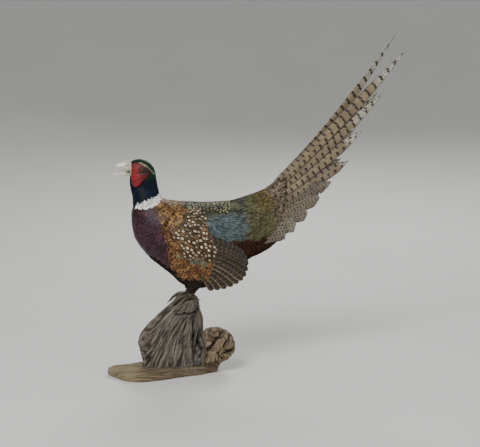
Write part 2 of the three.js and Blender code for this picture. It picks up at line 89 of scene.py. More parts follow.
# Cross-sections of head, neck and body, as in the CAD model, each from a point on the front or
# belly line to one on the nape or back line: [frontX, frontZ, backX, backZ, halfWidth, egg].
STATIONS = [
    [-70, 454.5, -55, 456, 4, 0], [-77, 451.5, -45, 453, 9, 0.2], [-79, 446, -37, 448, 13, 0.25],
    [-80, 438, -30, 440, 16.5, 0.22], [-80, 428, -26, 431, 18.5, 0.18], [-80, 415, -23.5, 418, 20, 0.1],
    [-79.5, 403, -21.5, 407, 21, 0.04], [-78, 392, -19, 397, 22.5, 0], [-76, 382, -16.5, 388, 25, 0],
    [-75.5, 370.5, -12, 377.5, 28.5, 0], [-77, 356, -1, 371.5, 34.5, 0], [-78.5, 338, 18, 368.5, 42, 0],
    [-77.5, 315, 44, 366.5, 50.5, 0.02], [-72, 292, 70, 365, 56.5, 0.04], [-58, 270, 92, 365, 60.5, 0.06],
    [-36, 245, 113, 366, 62.5, 0.08], [-2, 217, 133, 368.5, 63.5, 0.08], [31, 187, 150, 373, 63, 0.06],
    [66, 181, 165, 378, 60, 0.04], [104, 192, 179, 382.5, 55, 0.02], [138, 219, 191, 387, 48.5, 0],
    [165, 239, 202, 391, 42, 0], [189, 249, 212, 397.5, 37, 0], [210, 260, 222, 405, 33, 0],
    [226, 273, 231, 411, 29, 0],
]
# How deep the coat lies over the skin, at even steps from crown to tail root.
COAT_DEPTH = [1.2, 1.2, 1.4, 2.5, 3.5, 4.5, 5.5, 5.5, 5.5, 5.5, 5.5, 5, 4.5]
# Folded wing, as in the CAD model: [upperX, upperZ, lowerX, lowerZ, thickness].
WING_STATIONS = [
    [-15, 331, -17, 317, 3], [3, 351, -8, 293, 7], [26, 354, 12, 269, 9], [49, 342, 30, 250, 10],
    [68, 323, 46, 231, 10], [82, 303, 60, 212, 9], [96, 284, 74, 199, 6],
]
WING = {"least_y": 45, "sink": 3, "coat": 4, "reach": 0.97, "rings": 40, "sides": 40}
# Ends of the left thigh, as [x, y, z, radius].
THIGH = {"top": (58, 25, 212, 17), "bottom": (42, 19, 180, 9.5), "coat": 2.5, "rings": 9, "sides": 24}
# Bare red face patch, its outline in side view.
WATTLE_OUTLINE = [
    (-76, 447), (-66, 449), (-53, 444.5), (-42, 434), (-42.5, 425),
    (-53, 415), (-61, 405), (-70, 401), (-75.5, 408), (-76.5, 430),
]
SKIN = {"voxel": 2.2, "smoothing": 6, "sides": 96, "every": 2}  # a ring at every second spine step


# ---- Shape helpers ------------------------------------------------------------------------------

def through(rows, places):
    """Smooth values at places from 0 to 1 along the rows of a table."""
    rows = np.asarray(rows, float)
    if rows.ndim == 1:
        rows = rows[:, None]
    spot = np.clip(np.atleast_1d(places), 0, 1) * (len(rows) - 1)
    start = np.minimum(spot.astype(int), len(rows) - 2)
    share = (spot - start)[:, None]
    padded = np.vstack([2 * rows[0] - rows[1], rows, 2 * rows[-1] - rows[-2]])
    before, here, after, later = (padded[start + k] for k in range(4))
    return 0.5 * (2 * here + (after - before) * share
                  + (2 * before - 5 * here + 4 * after - later) * share ** 2
                  + (3 * here - before - 3 * after + later) * share ** 3)


def steps(count):
    """Even steps from 0 to 1."""
    return np.linspace(0, 1, count)


def angles(count):
    """Even steps of a full turn."""
    return np.linspace(0, 2 * math.pi, count, endpoint=False)


def points_of(*parts):
    """Points from their coordinates, each an array or one number for all."""
    return np.stack(np.broadcast_arrays(*parts), axis=-1)


def smooth(value, low, high):
    """0 below low, 1 above high and an easy rise between."""
    share = np.clip((np.asarray(value, float) - low) / (high - low), 0, 1)
    return share * share * (3 - 2 * share)


def bell(off, width):
    """1 where a distance is nought, falling to almost nothing at two widths."""
    return np.exp(-(off / width) ** 2)


def unit(vectors):
    """Arrows of the same directions and of length one."""
    return vectors / np.maximum(np.linalg.norm(vectors, axis=-1, keepdims=True), 1e-9)


def wobble(points, size, seed):
    """Smooth noise from about -1 to 1, with features of a given size in millimetres."""
    shift = Vector((seed * 17.3, seed * 5.1, seed * 9.7))
    return np.array([noise.noise(Vector(p / size) + shift) for p in points]) * 1.6


def mesh_from(name, points_mm, faces):
    """A mesh from points in millimetres, its faces turned outwards."""
    mesh = bpy.data.meshes.new(name)
    mesh.from_pydata((np.asarray(points_mm, float) * MM).tolist(), [], faces)
    tidy = bmesh.new()
    tidy.from_mesh(mesh)
    bmesh.ops.recalc_face_normals(tidy, faces=tidy.faces)
    tidy.to_mesh(mesh)
    tidy.free()
    return mesh


def ring_faces(rings, sides, caps=True):
    """Faces of a tube of rings, each end closed by one many-sided face."""
    faces = []
    for r in range(rings - 1):
        for k in range(sides):
            here, side = r * sides + k, r * sides + (k + 1) % sides
            faces.append((here, side, side + sides, here + sides))
    if caps:
        faces.append(tuple(range(sides))[::-1])
        faces.append(tuple(range((rings - 1) * sides, rings * sides)))
    return faces


def tube_mesh(name, rings):
    """A closed tube through an array of rings of points."""
    rings = np.asarray(rings, float)
    return mesh_from(name, rings.reshape(-1, 3), ring_faces(rings.shape[0], rings.shape[1]))


def rod_rings(points, radii, sides):
    """Rings of a round rod through points, with a radius at each."""
    points = np.asarray(points, float)
    along = unit(np.gradient(points, axis=0))
    across = unit(np.cross(along, [0.0, 1.0, 0.001]))
    other = np.cross(along, across)
    angle = angles(sides)[None, :, None]
    radii = np.asarray(radii, float)[:, None, None]
    return points[:, None] + radii * (np.cos(angle) * across[:, None] + np.sin(angle) * other[:, None])


def add_object(mesh, name):
    """A mesh as an object of the scene."""
    made = bpy.data.objects.new(name, mesh)
    bpy.context.scene.collection.objects.link(made)
    return made


def baked(source, name):
    """The source as its modifiers leave it, as a plain object. The source is removed."""
    bpy.context.view_layer.update()
    seen = source.evaluated_get(bpy.context.evaluated_depsgraph_get())
    mesh = bpy.data.meshes.new_from_object(seen)
    mesh.name = name
    bpy.data.objects.remove(source)
    return add_object(mesh, name)


def joined(meshes, name):
    """Several meshes as one object."""
    whole = bmesh.new()
    for mesh in meshes:
        whole.from_mesh(mesh)
    mesh = bpy.data.meshes.new(name)
    whole.to_mesh(mesh)
    whole.free()
    return add_object(mesh, name)


def remeshed(source, name, voxel_mm, smoothing):
    """One even closed surface round all that the source holds."""
    remesh = source.modifiers.new("even", "REMESH")
    remesh.mode = "VOXEL"
    remesh.voxel_size = voxel_mm * MM
    soften = source.modifiers.new("soften", "SMOOTH")
    soften.factor = 0.5
    soften.iterations = smoothing
    return baked(source, name)


def vertex_array(mesh, what="co"):
    """The places of a mesh's points, or what else they hold, as rows of three numbers."""
    values = np.empty(len(mesh.vertices) * 3)
    mesh.vertices.foreach_get(what, values)
    return values.reshape(-1, 3)


def shade_smooth(mesh):
    """Lets light run smoothly over a mesh's faces."""
    mesh.polygons.foreach_set("use_smooth", [True] * len(mesh.polygons))


def store(mesh, name, values):
    """Keeps a number or a vector for each point of a mesh as a named attribute."""
    kind, field = ("FLOAT", "value") if np.ndim(values) == 1 else ("FLOAT_VECTOR", "vector")
    mesh.attributes.new(name, kind, "POINT").data.foreach_set(field, np.ravel(values))


def store_corners(mesh, name, spots):
    """Keeps a place for each point as a UV map."""
    corner = np.empty(len(mesh.loops), int)
    mesh.loops.foreach_get("vertex_index", corner)
    mesh.uv_layers.new(name=name).data.foreach_set("uv", spots[corner].ravel())


def finder_of(points):
    """A search tree over points, for finding the nearest ones."""
    finder = KDTree(len(points))
    for k, point in enumerate(points):
        finder.insert(point, k)
    finder.balance()
    return finder


def one_material(piece, material):
    """Leaves a single material on the whole piece."""
    piece.data.materials.clear()
    piece.data.materials.append(material)
    piece.data.polygons.foreach_set("material_index", [0] * len(piece.data.polygons))


def finished(piece, slot, material, *nodes):
    """Gives a piece its finish, fixes it to the root body and hides the CAD parts that it stands in for."""
    shade_smooth(piece.data)
    one_material(piece, material)
    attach(piece, "root")
    if nodes:
        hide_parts(*nodes)


# ---- Node helpers -------------------------------------------------------------------------------

class Wire:
    """An output of a node. Arithmetic on it adds the nodes that work the result out."""

    def __init__(self, tree, socket):
        self.tree, self.socket = tree, socket

    def op(self, operation, *others):
        """One step of arithmetic on this value and others."""
        return self.tree.out("ShaderNodeMath", dict(enumerate((self, *others))), operation=operation)

    def rise(self, low, high, start=0.0, end=1.0):
        """start where the value is below low, end above high, easing between."""
        inputs = {"Value": self, "From Min": low, "From Max": high, "To Min": start, "To Max": end}
        return self.tree.out("ShaderNodeMapRange", inputs, interpolation_type="SMOOTHSTEP")

    def scaled(self, factor):
        """A vector or a colour times a number."""
        return self.tree.out("ShaderNodeVectorMath", {0: self, "Scale": factor}, operation="SCALE")

    def vector(self, operation, other):
        """One step of arithmetic on this arrow and another."""
        return self.tree.out("ShaderNodeVectorMath", {0: self, 1: other}, operation=operation)

    def split(self):
        """The x, y and z of a place."""
        parts = self.tree.node("ShaderNodeSeparateXYZ", {0: self}).outputs
        return [Wire(self.tree, part) for part in parts]

    def __add__(self, other):
        return self.op("ADD", other)

    def __sub__(self, other):
        return self.op("SUBTRACT", other)

    def __mul__(self, other):
        return self.op("MULTIPLY", other)

    def __truediv__(self, other):
        return self.op("DIVIDE", other)

    def __rsub__(self, other):
        return self * -1.0 + other

    def __pow__(self, other):
        return self.op("POWER", other)

    def __abs__(self):
        return self.op("ABSOLUTE")

    def __or__(self, other):
        """The greater of two masks."""
        return self.op("MAXIMUM", other)


class Tree:
    """Adds nodes to a node tree, each in one call."""

    def __init__(self, tree):
        self.tree = tree

    def node(self, kind, inputs=None, **settings):
        """A new node with its settings made and its inputs fed."""
        made = self.tree.nodes.new(kind)
        for name, value in settings.items():
            setattr(made, name, value)
        for key, value in (inputs or {}).items():
            self.feed(made.inputs[key], value)
        return made

    def out(self, kind, inputs=None, socket=0, **settings):
        """One output of a new node."""
        return Wire(self, self.node(kind, inputs, **settings).outputs[socket])

    def feed(self, socket, value):
        """Links an input to an output, or sets it to a constant."""
        if isinstance(value, bpy.types.Node):
            value = value.outputs[0]
        if isinstance(value, Wire):
            value = value.socket
        if isinstance(value, bpy.types.NodeSocket):
            self.tree.links.new(value, socket)
        else:
            socket.default_value = value


def far(x, y):
    """How far a point of two wires is from nought."""
    return (x * x + y * y).op("SQRT")


def live(sockets, name):
    """The one of a node's sockets of a name that its data type switches on."""
    return next(socket for socket in sockets if socket.enabled and socket.name == name)


def new_group(name, inputs):
    """A Geometry Nodes tree with named inputs, and the outputs that give them."""
    group = bpy.data.node_groups.new(name, "GeometryNodeTree")
    for label, kind in {"Geometry": "Geometry", **inputs}.items():
        group.interface.new_socket(label, in_out="INPUT", socket_type=f"NodeSocket{kind}")
    group.interface.new_socket("Geometry", in_out="OUTPUT", socket_type="NodeSocketGeometry")
    tree = Tree(group)
    return tree, tree.node("NodeGroupInput").outputs


def end_group(tree, given, geometry):
    """Ends a tree in its given material, and hands over its node group."""
    dressed = tree.node("GeometryNodeSetMaterial", {"Geometry": geometry, "Material": given["Material"]})
    tree.node("NodeGroupOutput", {0: dressed})
    return tree.tree


def grown(source, name, group, values):
    """The plain object that a Geometry Nodes tree makes of a source, given its inputs by name."""
    grow = source.modifiers.new("grow", "NODES")
    grow.node_group = group
    for item in group.interface.items_tree:
        if item.item_type == "SOCKET" and item.in_out == "INPUT" and item.name in values:
            grow[item.identifier] = values[item.name]
    return baked(source, name)


def colour(code):
    """A display colour, such as 0xA86A2C, as linear light for a shader."""
    parts = [((code >> shift) & 255) / 255 for shift in (16, 8, 0)]
    return (*[c / 12.92 if c <= 0.04045 else ((c + 0.055) / 1.055) ** 2.4 for c in parts], 1.0)


class Finish(Tree):
    """A material in the making, with the place of each point of the surface."""

    def __init__(self, name):
        self.material = bpy.data.materials.new(name)
        self.material.use_nodes = True
        super().__init__(self.material.node_tree)
        self.place = self.out("ShaderNodeTexCoord", socket="Object")

    def attribute(self, name, socket="Fac"):
        """What the piece's points carry under a name."""
        return self.out("ShaderNodeAttribute", socket=socket, attribute_name=name)

    def attributes(self, *names):
        return [self.attribute(name) for name in names]

    def noise(self, scale, detail=2.0, roughness=0.5, at=None):
        """Smooth noise from 0 to 1 over the surface, with `scale` features to a metre."""
        inputs = {"Vector": at or self.place, "Scale": scale, "Detail": detail, "Roughness": roughness}
        return self.out("ShaderNodeTexNoise", inputs, socket="Fac")

    def stray(self, scale, detail, size):
        """Noise about nought, from minus to plus half a size."""
        return self.noise(scale, detail) * size - size / 2

    def mix(self, factor, a, b):
        """Colour a, and b where the factor is 1. A plain colour is given by its code."""
        a, b = (colour(hue) if isinstance(hue, int) else hue for hue in (a, b))
        return self.out("ShaderNodeMix", {0: factor, 6: a, 7: b}, socket=2, data_type="RGBA")

    def layers(self, paint, *coats):
        """Colours laid over paint one after another, each where its mask is 1."""
        for mask, hue in coats:
            paint = self.mix(mask, paint, hue)
        return paint

    def done(self, paint, surface, height=None, depth_mm=0.0, strength=0.0):
        """Sets the colour, the surface's constants and its relief, and gives the material."""
        shader = self.tree.nodes["Principled BSDF"]
        self.feed(shader.inputs["Base Color"], paint)
        for name, value in surface.items():
            shader.inputs[name].default_value = value
        if height is not None:
            relief = {"Height": height, "Distance": depth_mm * MM, "Strength": strength}
            self.feed(shader.inputs["Normal"], self.out("ShaderNodeBump", relief))
        return self.material


# ---- Stage --------------------------------------------------------------------------------------

def aimed(holder, place, aim):
    """Sets a lamp or a camera at a place and turns it to face a point."""
    holder.location = place
    holder.rotation_euler = (Vector(aim) - Vector(place)).to_track_quat("-Z", "Y").to_euler()
    bpy.context.scene.collection.objects.link(holder)


def make_stage():
    """Pale floor, soft lights and the camera."""
    turn = angles(FLOOR_SIDES)
    rings = [points_of(radius * np.cos(turn), radius * np.sin(turn), height)
             for radius, height in FLOOR_PROFILE]
    faces = [face[::-1] for face in ring_faces(len(rings), FLOOR_SIDES, caps=False)]
    faces.append(tuple(range(FLOOR_SIDES)))
    mesh = bpy.data.meshes.new("floor")
    mesh.from_pydata((np.vstack(rings) * MM).tolist(), [], faces)
    shade_smooth(mesh)
    floor = add_object(mesh, "floor")
    paint = Finish("pale_floor")
    tone = paint.mix(paint.noise(3.0), 0xD9D8D5, 0xE2E1DE)
    floor.data.materials.append(paint.done(tone, {"Roughness": 0.9}))

    world = bpy.data.worlds.new("studio")
    bpy.context.scene.world = world
    world.use_nodes = True
    sky = world.node_tree.nodes["Background"]
    sky.inputs["Color"].default_value = colour(SKY["Color"])
    sky.inputs["Strength"].default_value = SKY["Strength"]
    for name, (place, size, power) in LAMPS.items():
        lamp = bpy.data.lights.new(name, "AREA")
        lamp.shape = "DISK"
        lamp.size = size
        lamp.energy = power
        aimed(bpy.data.objects.new(name, lamp), place, LAMP_AIM)

    lens = bpy.data.cameras.new("camera")
    lens.lens = CAMERA["lens"]
    lens.sensor_width = CAMERA["sensor"]
    camera = bpy.data.objects.new("camera", lens)
    aimed(camera, *(Vector(CAMERA[key]) * MM for key in ("place", "aim")))
    bpy.context.scene.camera = camera


# ---- Body shape ---------------------------------------------------------------------------------

SPINE = steps(480)
SPINE_STEP = 1 / len(SPINE)
SECTIONS = through(STATIONS, SPINE)


def body_ring(spine, sides, inset):
    """Points round the body at each place along the spine, inset from its full outline."""
    rows = through(STATIONS, spine)
    front_x, front_z, back_x, back_z, half_width, egg = (rows[:, k, None] for k in range(6))
    angle = angles(sides)[None, :]
    half = np.hypot(front_x - back_x, front_z - back_z) / 2
    stretch = 0.5 * (1 - inset / half) * np.cos(angle)
    x = (front_x + back_x) / 2 + (front_x - back_x) * stretch
    z = (front_z + back_z) / 2 + (front_z - back_z) * stretch
    y = (half_width - inset) * np.sin(angle) * (1 - egg * np.cos(angle))
    return points_of(x, y, z)


def nearest_line(start, end, x, z):
    """For points of the side view: the nearest of many lines, -1 to 1 along it, and how far off."""
    line = end - start
    length = np.hypot(line[:, 0], line[:, 1])
    dx, dz = x[:, None] - start[None, :, 0], z[:, None] - start[None, :, 1]
    side = (dx * line[:, 1] - dz * line[:, 0]) / length
    across = 2 * (dx * line[:, 0] + dz * line[:, 1]) / length ** 2 - 1
    outside = np.maximum(np.abs(across) - 1, 0) * length / 2
    nearest = np.argmin(np.hypot(side, outside), axis=1)
    rows = np.arange(len(x))
    return nearest, across[rows, nearest], np.abs(side[rows, nearest])


def on_body(x, z):
    """For points of the side view: place along the spine, -1 (front) to 1 (back), and half width."""
    nearest, across, _ = nearest_line(SECTIONS[:, 0:2], SECTIONS[:, 2:4], x, z)
    u = np.clip(across, -1, 1)
    section = SECTIONS[nearest]
    return SPINE[nearest], u, section[:, 4] * np.sqrt(1 - u * u) * (1 + section[:, 5] * u)


def wing_rings(side):
    """Rings of the folded wing's flesh, inside its coverts."""
    rows = through(WING_STATIONS, np.linspace(0, WING["reach"], WING["rings"]))
    angle = angles(WING["sides"])
    rings = []
    for upper_x, upper_z, lower_x, lower_z, thickness in rows:
        half = math.hypot(upper_x - lower_x, upper_z - lower_z) / 2
        share = (half - WING["coat"]) / half * np.cos(angle) / 2
        x = (upper_x + lower_x) / 2 + (upper_x - lower_x) * share
        z = (upper_z + lower_z) / 2 + (upper_z - lower_z) * share
        depth = np.where(np.sin(angle) > 0, max(thickness - WING["coat"], 1), WING["sink"] + 2)
        y = np.maximum(on_body(x, z)[2] - 1, WING["least_y"]) + depth * np.sin(angle)
        rings.append(points_of(x, side * y, z))
    return rings


def thigh_rings(side):
    """Rings of a thigh's flesh, inside its coat."""
    top, bottom = np.array(THIGH["top"], float), np.array(THIGH["bottom"], float)
    rows = top + (bottom - top) * steps(THIGH["rings"])[:, None]
    return rod_rings(rows[:, :3] * [1, side, 1], rows[:, 3] - THIGH["coat"], THIGH["sides"])


def make_skin():
    """One closed skin for head, neck, body, wings and thighs, inside the coat."""
    spine = SPINE[::SKIN["every"]]
    body = tube_mesh("body", body_ring(spine, SKIN["sides"], through(COAT_DEPTH, spine)))
    limbs = [tube_mesh("limb", rings(side)) for side in SIDES for rings in (wing_rings, thigh_rings)]
    skin = remeshed(joined([body, *limbs], "skin_parts"), "skin", SKIN["voxel"], SKIN["smoothing"])
    shade_smooth(skin.data)
    store(skin.data, "lie_normal", vertex_array(skin.data, "normal"))
    return skin


# ---- Plumage: shapes of single feathers -----------------------------------------------------------

VANE_THICKNESS = 0.22
# Where along a vane its outline is widest, where its edge starts to fray, and where its tip does.
VANE_OUTLINE = {"widest": 0.55, "edge_frays": 0.3, "tip_frays": 0.98, "tip_share": 0.35}
INNER = (slice(1, -1), slice(1, -1))
VANES = {
    "round": {"rows": 5, "columns": 6, "root_share": 0.4, "tip_drop": 0.34, "narrowing": 0.06, "fray": 0.05},
    "hair": {"rows": 6, "columns": 4, "root_share": 0.3, "tip_drop": 0.42, "narrowing": 0.3, "fray": 0.5},
}
VANE_VARIANTS = 4


def two_sheets(rows, columns):
    """Two grids of quads that share their rim: the upper one's point numbers, and the faces of both."""
    top = np.arange((rows + 1) * (columns + 1)).reshape(rows + 1, columns + 1)
    bottom = top.copy()
    bottom[INNER] = top.size + np.arange((rows - 1) * (columns - 1)).reshape(rows - 1, columns - 1)
    upper = points_of(top[:-1, :-1], top[1:, :-1], top[1:, 1:], top[:-1, 1:])
    lower = points_of(bottom[:-1, :-1], bottom[:-1, 1:], bottom[1:, 1:], bottom[1:, :-1])
    return top, np.vstack([upper.reshape(-1, 4), lower.reshape(-1, 4)])


def on_both(values):
    """Values for the grid points of the upper sheet, then those of the lower sheet's inner points."""
    width = values.shape[2:]
    return np.concatenate([values.reshape(-1, *width), values[INNER].reshape(-1, *width)])


def sheet_sides(shape):
    """1 on the upper sheet, -1 on the lower one and 0 on the rim that they share."""
    side = np.zeros(shape)
    side[INNER] = 1
    return np.concatenate([side.ravel(), -np.ones(side[INNER].size)])


def vane_mesh(name, rows, columns, root_share, tip_drop, narrowing, fray, draw):
    """A flat feather one unit long and one wide, of two sheets that meet along its rim.

    Its root is at the origin and its shaft runs along +X. `tip_drop` rounds the tip and `fray`
    roughens the outline. The height that each point will have is kept in attributes."""
    turn = np.linspace(-math.pi / 2, math.pi / 2, columns + 1)[None, :] * np.ones((rows + 1, 1))
    along = steps(rows + 1)[:, None] ** 0.75 * np.ones(columns + 1)
    across = np.sin(turn)
    to_widest = np.minimum(1, along / VANE_OUTLINE["widest"])
    widening = root_share + (1 - root_share) * np.sin(math.pi / 2 * to_widest)
    width = widening * (1 - narrowing * along ** 4)
    reach = along * (1 - tip_drop * (1 - np.cos(turn)) * along ** 2)
    on_edge = (along > VANE_OUTLINE["edge_frays"]) * (np.abs(across) > 0.9)
    edge = 1 + fray * (draw.random((rows + 1, 1)) - 0.8) * on_edge
    at_tip = along > VANE_OUTLINE["tip_frays"]
    reach = reach - fray * VANE_OUTLINE["tip_share"] * draw.random(reach.shape) * at_tip
    top, faces = two_sheets(rows, columns)
    mesh = bpy.data.meshes.new(name)
    sheet = points_of(reach, 0.5 * width * across * edge, 0.0)
    mesh.from_pydata(on_both(sheet).tolist(), [], faces.tolist())
    spot = on_both(points_of(across * 0.5 + 0.5, along))
    store_corners(mesh, "Vane", spot)
    store(mesh, "thick", 0.5 * VANE_THICKNESS * MM * sheet_sides(top.shape))
    store(mesh, "climb", spot[:, 1] ** 1.15)
    store(mesh, "arch", -(2 * spot[:, 0] - 1) ** 2)
    rim = set(top[0]) | set(top[-1]) | set(top[:, 0]) | set(top[:, -1])
    sharp = [edge.vertices[0] in rim and edge.vertices[1] in rim for edge in mesh.edges]
    mesh.attributes.new("sharp_edge", "BOOLEAN", "EDGE").data.foreach_set("value", sharp)
    shade_smooth(mesh)
    return mesh


def make_vanes():
    """A collection of a few variants for each kind of feather."""
    draw = np.random.default_rng(SEED)
    kinds = {}
    for kind, shape in VANES.items():
        kinds[kind] = bpy.data.collections.new(kind)
        for k in range(VANE_VARIANTS):
            name = f"{kind}_{k}"
            kinds[kind].objects.link(bpy.data.objects.new(name, vane_mesh(name, draw=draw, **shape)))
    return kinds


# ---- Plumage: laying feathers over the skin -------------------------------------------------------

def plumage_group():
    """Sets a vane on each root point, lays it along the skin and maps it to a patch at its root.

    Root points carry root_normal, flow, size (length, width, length), lift (height of the tip),
    droop (of the edges), cling (1 follows the skin, 0 stays straight) and root_map."""
    tree, given = new_group("Plumage", {"Skin": "Object", "Vanes": "Collection", "Patch": "Float",
                                        "Base height": "Float", "Seed": "Int", "Material": "Material"})

    def named(name, kind="FLOAT"):
        made = tree.node("GeometryNodeInputNamedAttribute", {0: name}, data_type=kind)
        return Wire(tree, live(made.outputs, "Attribute"))

    def arrow(name):
        return named(name, "FLOAT_VECTOR")

    vanes = tree.out("GeometryNodeCollectionInfo", {0: given["Vanes"], 1: True, 2: True})
    turn = tree.out("FunctionNodeAxesToRotation", {0: arrow("root_normal"), 1: arrow("flow")},
                    primary_axis="Z", secondary_axis="X")
    pick = tree.out("FunctionNodeRandomValue", {"Seed": given["Seed"], 4: 0, 5: VANE_VARIANTS - 1}, 2,
                    data_type="INT")
    placed = tree.node("GeometryNodeInstanceOnPoints", {
        "Points": given["Geometry"], "Instance": vanes, "Pick Instance": True, "Instance Index": pick,
        "Rotation": turn, "Scale": arrow("size")})
    real = tree.node("GeometryNodeRealizeInstances", {0: placed})
    skin = tree.out("GeometryNodeObjectInfo", {0: given["Skin"]}, "Geometry", transform_space="ORIGINAL")

    def on_skin(value):
        made = tree.node("GeometryNodeSampleNearestSurface", {"Mesh": skin}, data_type="FLOAT_VECTOR")
        tree.feed(live(made.inputs, "Value"), value)
        return Wire(tree, live(made.outputs, "Value"))

    place = tree.out("GeometryNodeInputPosition")
    raised = named("lift") * named("climb") + named("droop") * named("arch")
    height = raised + (named("thick") + given["Base height"])
    laid = on_skin(place).vector("ADD", on_skin(arrow("lie_normal")).scaled(height))
    straight = place.vector("ADD", arrow("root_normal").scaled(height))
    bent = tree.out("ShaderNodeMix", {0: named("cling"), 4: straight, 5: laid}, 1, data_type="VECTOR")
    bent = tree.node("GeometryNodeSetPosition", {"Geometry": real, "Position": bent})

    patch = arrow("Vane").vector("SUBTRACT", (0.5, 0.5, 0)).scaled(given["Patch"])
    mapped = tree.node("GeometryNodeStoreNamedAttribute", {"Geometry": bent, "Name": "OFBake"},
                       data_type="FLOAT2", domain="CORNER")
    tree.feed(live(mapped.inputs, "Value"), patch.vector("ADD", arrow("root_map")))
    return end_group(tree, given, mapped)


# ---- Plumage: where feathers grow and how they lie ------------------------------------------------

# Feathers sweep over the crown round this centre, above these heights.
HEAD = {"centre": (-50, 0, 424), "from_z": (415, 436), "shift": (9, 12)}
CANDIDATES = 90000
ROOT_GAP = 0.82  # least gap of roots as a share of their tract's spacing
RELAX = {"rounds": 3, "neighbours": 7, "reach": 1.22, "push": 0.3}
BROW_SEED = {"within": 4, "copies": 5}  # more roots to choose from near the narrow brow
STRAY = {"flow": 0.1, "tip": 0.06, "size": (0.92, 1.08), "lift": (0.9, 1.1)}
PATCH = 0.003  # side of a feather's patch on the unwrap
TIP_SHARE = 0.7  # a feather takes its tract from the place that this much of it reaches
BASE_HEIGHT = 0.2  # of a feather's root above the skin
TAIL_ROOT = {"x": 226, "cling_x": (226, 196)}  # no coat grows behind x; the last of it lies straight
WING_LIE = {
    "places": 120, "steady_from": 0.36, "step": 0.04, "slant": 0.4, "across": (1.25, 0.95), "off": (12, 3),
    "outer_y": (40, 52),
}


def scattered(mesh, count, draw):
    """Random points over a mesh, evenly by area, in millimetres."""
    mesh.calc_loop_triangles()
    corners = np.empty(len(mesh.loop_triangles) * 3, int)
    mesh.loop_triangles.foreach_get("vertices", corners)
    corners = corners.reshape(-1, 3)
    points = vertex_array(mesh) / MM
    a, b, c = (points[corners[:, k]] for k in range(3))
    area = np.linalg.norm(np.cross(b - a, c - a), axis=1)
    face = draw.choice(len(area), count, p=area / area.sum())
    p, q = draw.random((2, count, 1))
    flip = p + q > 1
    p, q = np.where(flip, 1 - p, p), np.where(flip, 1 - q, q)
    return sum(share * points[corners[face, k]] for k, share in enumerate((1 - p - q, p, q)))


def wing_place(x, z):
    """For points of the side view: place along the folded wing, -1 to 1 up it, and how far off."""
    places = steps(WING_LIE["places"])
    rows = through(WING_STATIONS, places)
    nearest, across, off = nearest_line(rows[:, 2:4], rows[:, 0:2], x, z)
    return places[nearest], across, off


def lie_of_coat(place, normal):
    """The direction in which feathers point at places on the skin."""
    x, z = place[:, 0], place[:, 2]
    spine, across, _ = on_body(x, z)

    def point(at):
        row = through(STATIONS, at)
        return (row[:, 0:2] + row[:, 2:4]) / 2 + across[:, None] * (row[:, 2:4] - row[:, 0:2]) / 2

    down = point(np.minimum(spine + SPINE_STEP, 1)) - point(np.maximum(spine - SPINE_STEP, 0))
    flow = unit(points_of(down[:, 0], 0.0, down[:, 1]))
    arm = place - np.array(HEAD["centre"])
    over_crown = unit(points_of(arm[:, 2] + HEAD["shift"][0], 0.0, -arm[:, 0] - HEAD["shift"][1]))
    on_head = smooth(z, *HEAD["from_z"])[:, None]
    flow = flow * (1 - on_head) + over_crown * on_head

    wing_at, wing_across, wing_off = wing_place(x, z)
    steady, step = np.maximum(wing_at, WING_LIE["steady_from"]), WING_LIE["step"]
    ahead = through(WING_STATIONS, np.minimum(steady + step, 1)) - through(WING_STATIONS, steady - step)
    share = (WING_LIE["slant"] * wing_across[:, None] + 1) / 2
    wing_flow = unit(ahead[:, 0:2] * share + ahead[:, 2:4] * (1 - share))
    wing_flow = points_of(wing_flow[:, 0], 0.0, wing_flow[:, 1])
    beside = smooth(np.abs(wing_across), *WING_LIE["across"]) * smooth(wing_off, *WING_LIE["off"])
    on_wing = (beside * smooth(np.abs(place[:, 1]), *WING_LIE["outer_y"]))[:, None]
    flow = flow * (1 - on_wing) + wing_flow * on_wing
    return unit(flow - normal * np.sum(flow * normal, axis=1, keepdims=True))


def spaced(place, spacing, draw):
    """Picks points so that no two are nearer than their spacing."""
    finder = finder_of(place)
    free = np.ones(len(place), bool)
    chosen = []
    for k in draw.permutation(len(place)):
        if free[k]:
            chosen.append(k)
            for _, near, _ in finder.find_range(place[k], spacing[k]):
                free[near] = False
    return np.array(chosen)


def evened(place, spacing, surface):
    """Pushes neighbours apart and back onto the surface, which brings them nearly into rows."""
    for _ in range(RELAX["rounds"]):
        finder = finder_of(place)
        moved = place.copy()
        for k, point in enumerate(place):
            wanted = RELAX["reach"] * spacing[k]
            for _, near, gap in finder.find_n(point, RELAX["neighbours"]):
                if near != k and gap < wanted:
                    moved[k] += (place[k] - place[near]) / max(gap, 1e-3) * RELAX["push"] * (wanted - gap)
        place = np.array([surface.find_nearest(p)[0] for p in moved])
    return place


# ---- Plumage: finishes --------------------------------------------------------------------------

def rim_mask(across, along, start, softness):
    """1 along a vane's tip and sides, from a share of its length on."""
    return (along + abs(across) ** 6.0 * 0.16).rise(start - softness, start + softness)


def spot_mask(across, along, centre, half_across, half_along, softness=0.2):
    """1 inside an oval on a vane."""
    return far(across / half_across, (along - centre) / half_along).rise(1 + softness, 1 - softness)


def bar_mask(value, share, softness=0.12):
    """1 on stripes across a value that grows by one from stripe to stripe, each a share of a step wide."""
    return value.op("PINGPONG", 0.5).rise(share / 2 + softness * share, share / 2 - softness * share)


def staggered(along, row, long_share, row_share):
    """1 on oval spots in rows, each row half a step on from the last; both numbers grow by one a step."""
    x = (row.op("FLOOR") * 0.5 + along).op("PINGPONG", 0.5) / (long_share / 2)
    y = (row + 0.5).op("PINGPONG", 0.5) / (row_share / 2)
    return far(x, y).rise(1.2, 0.8)


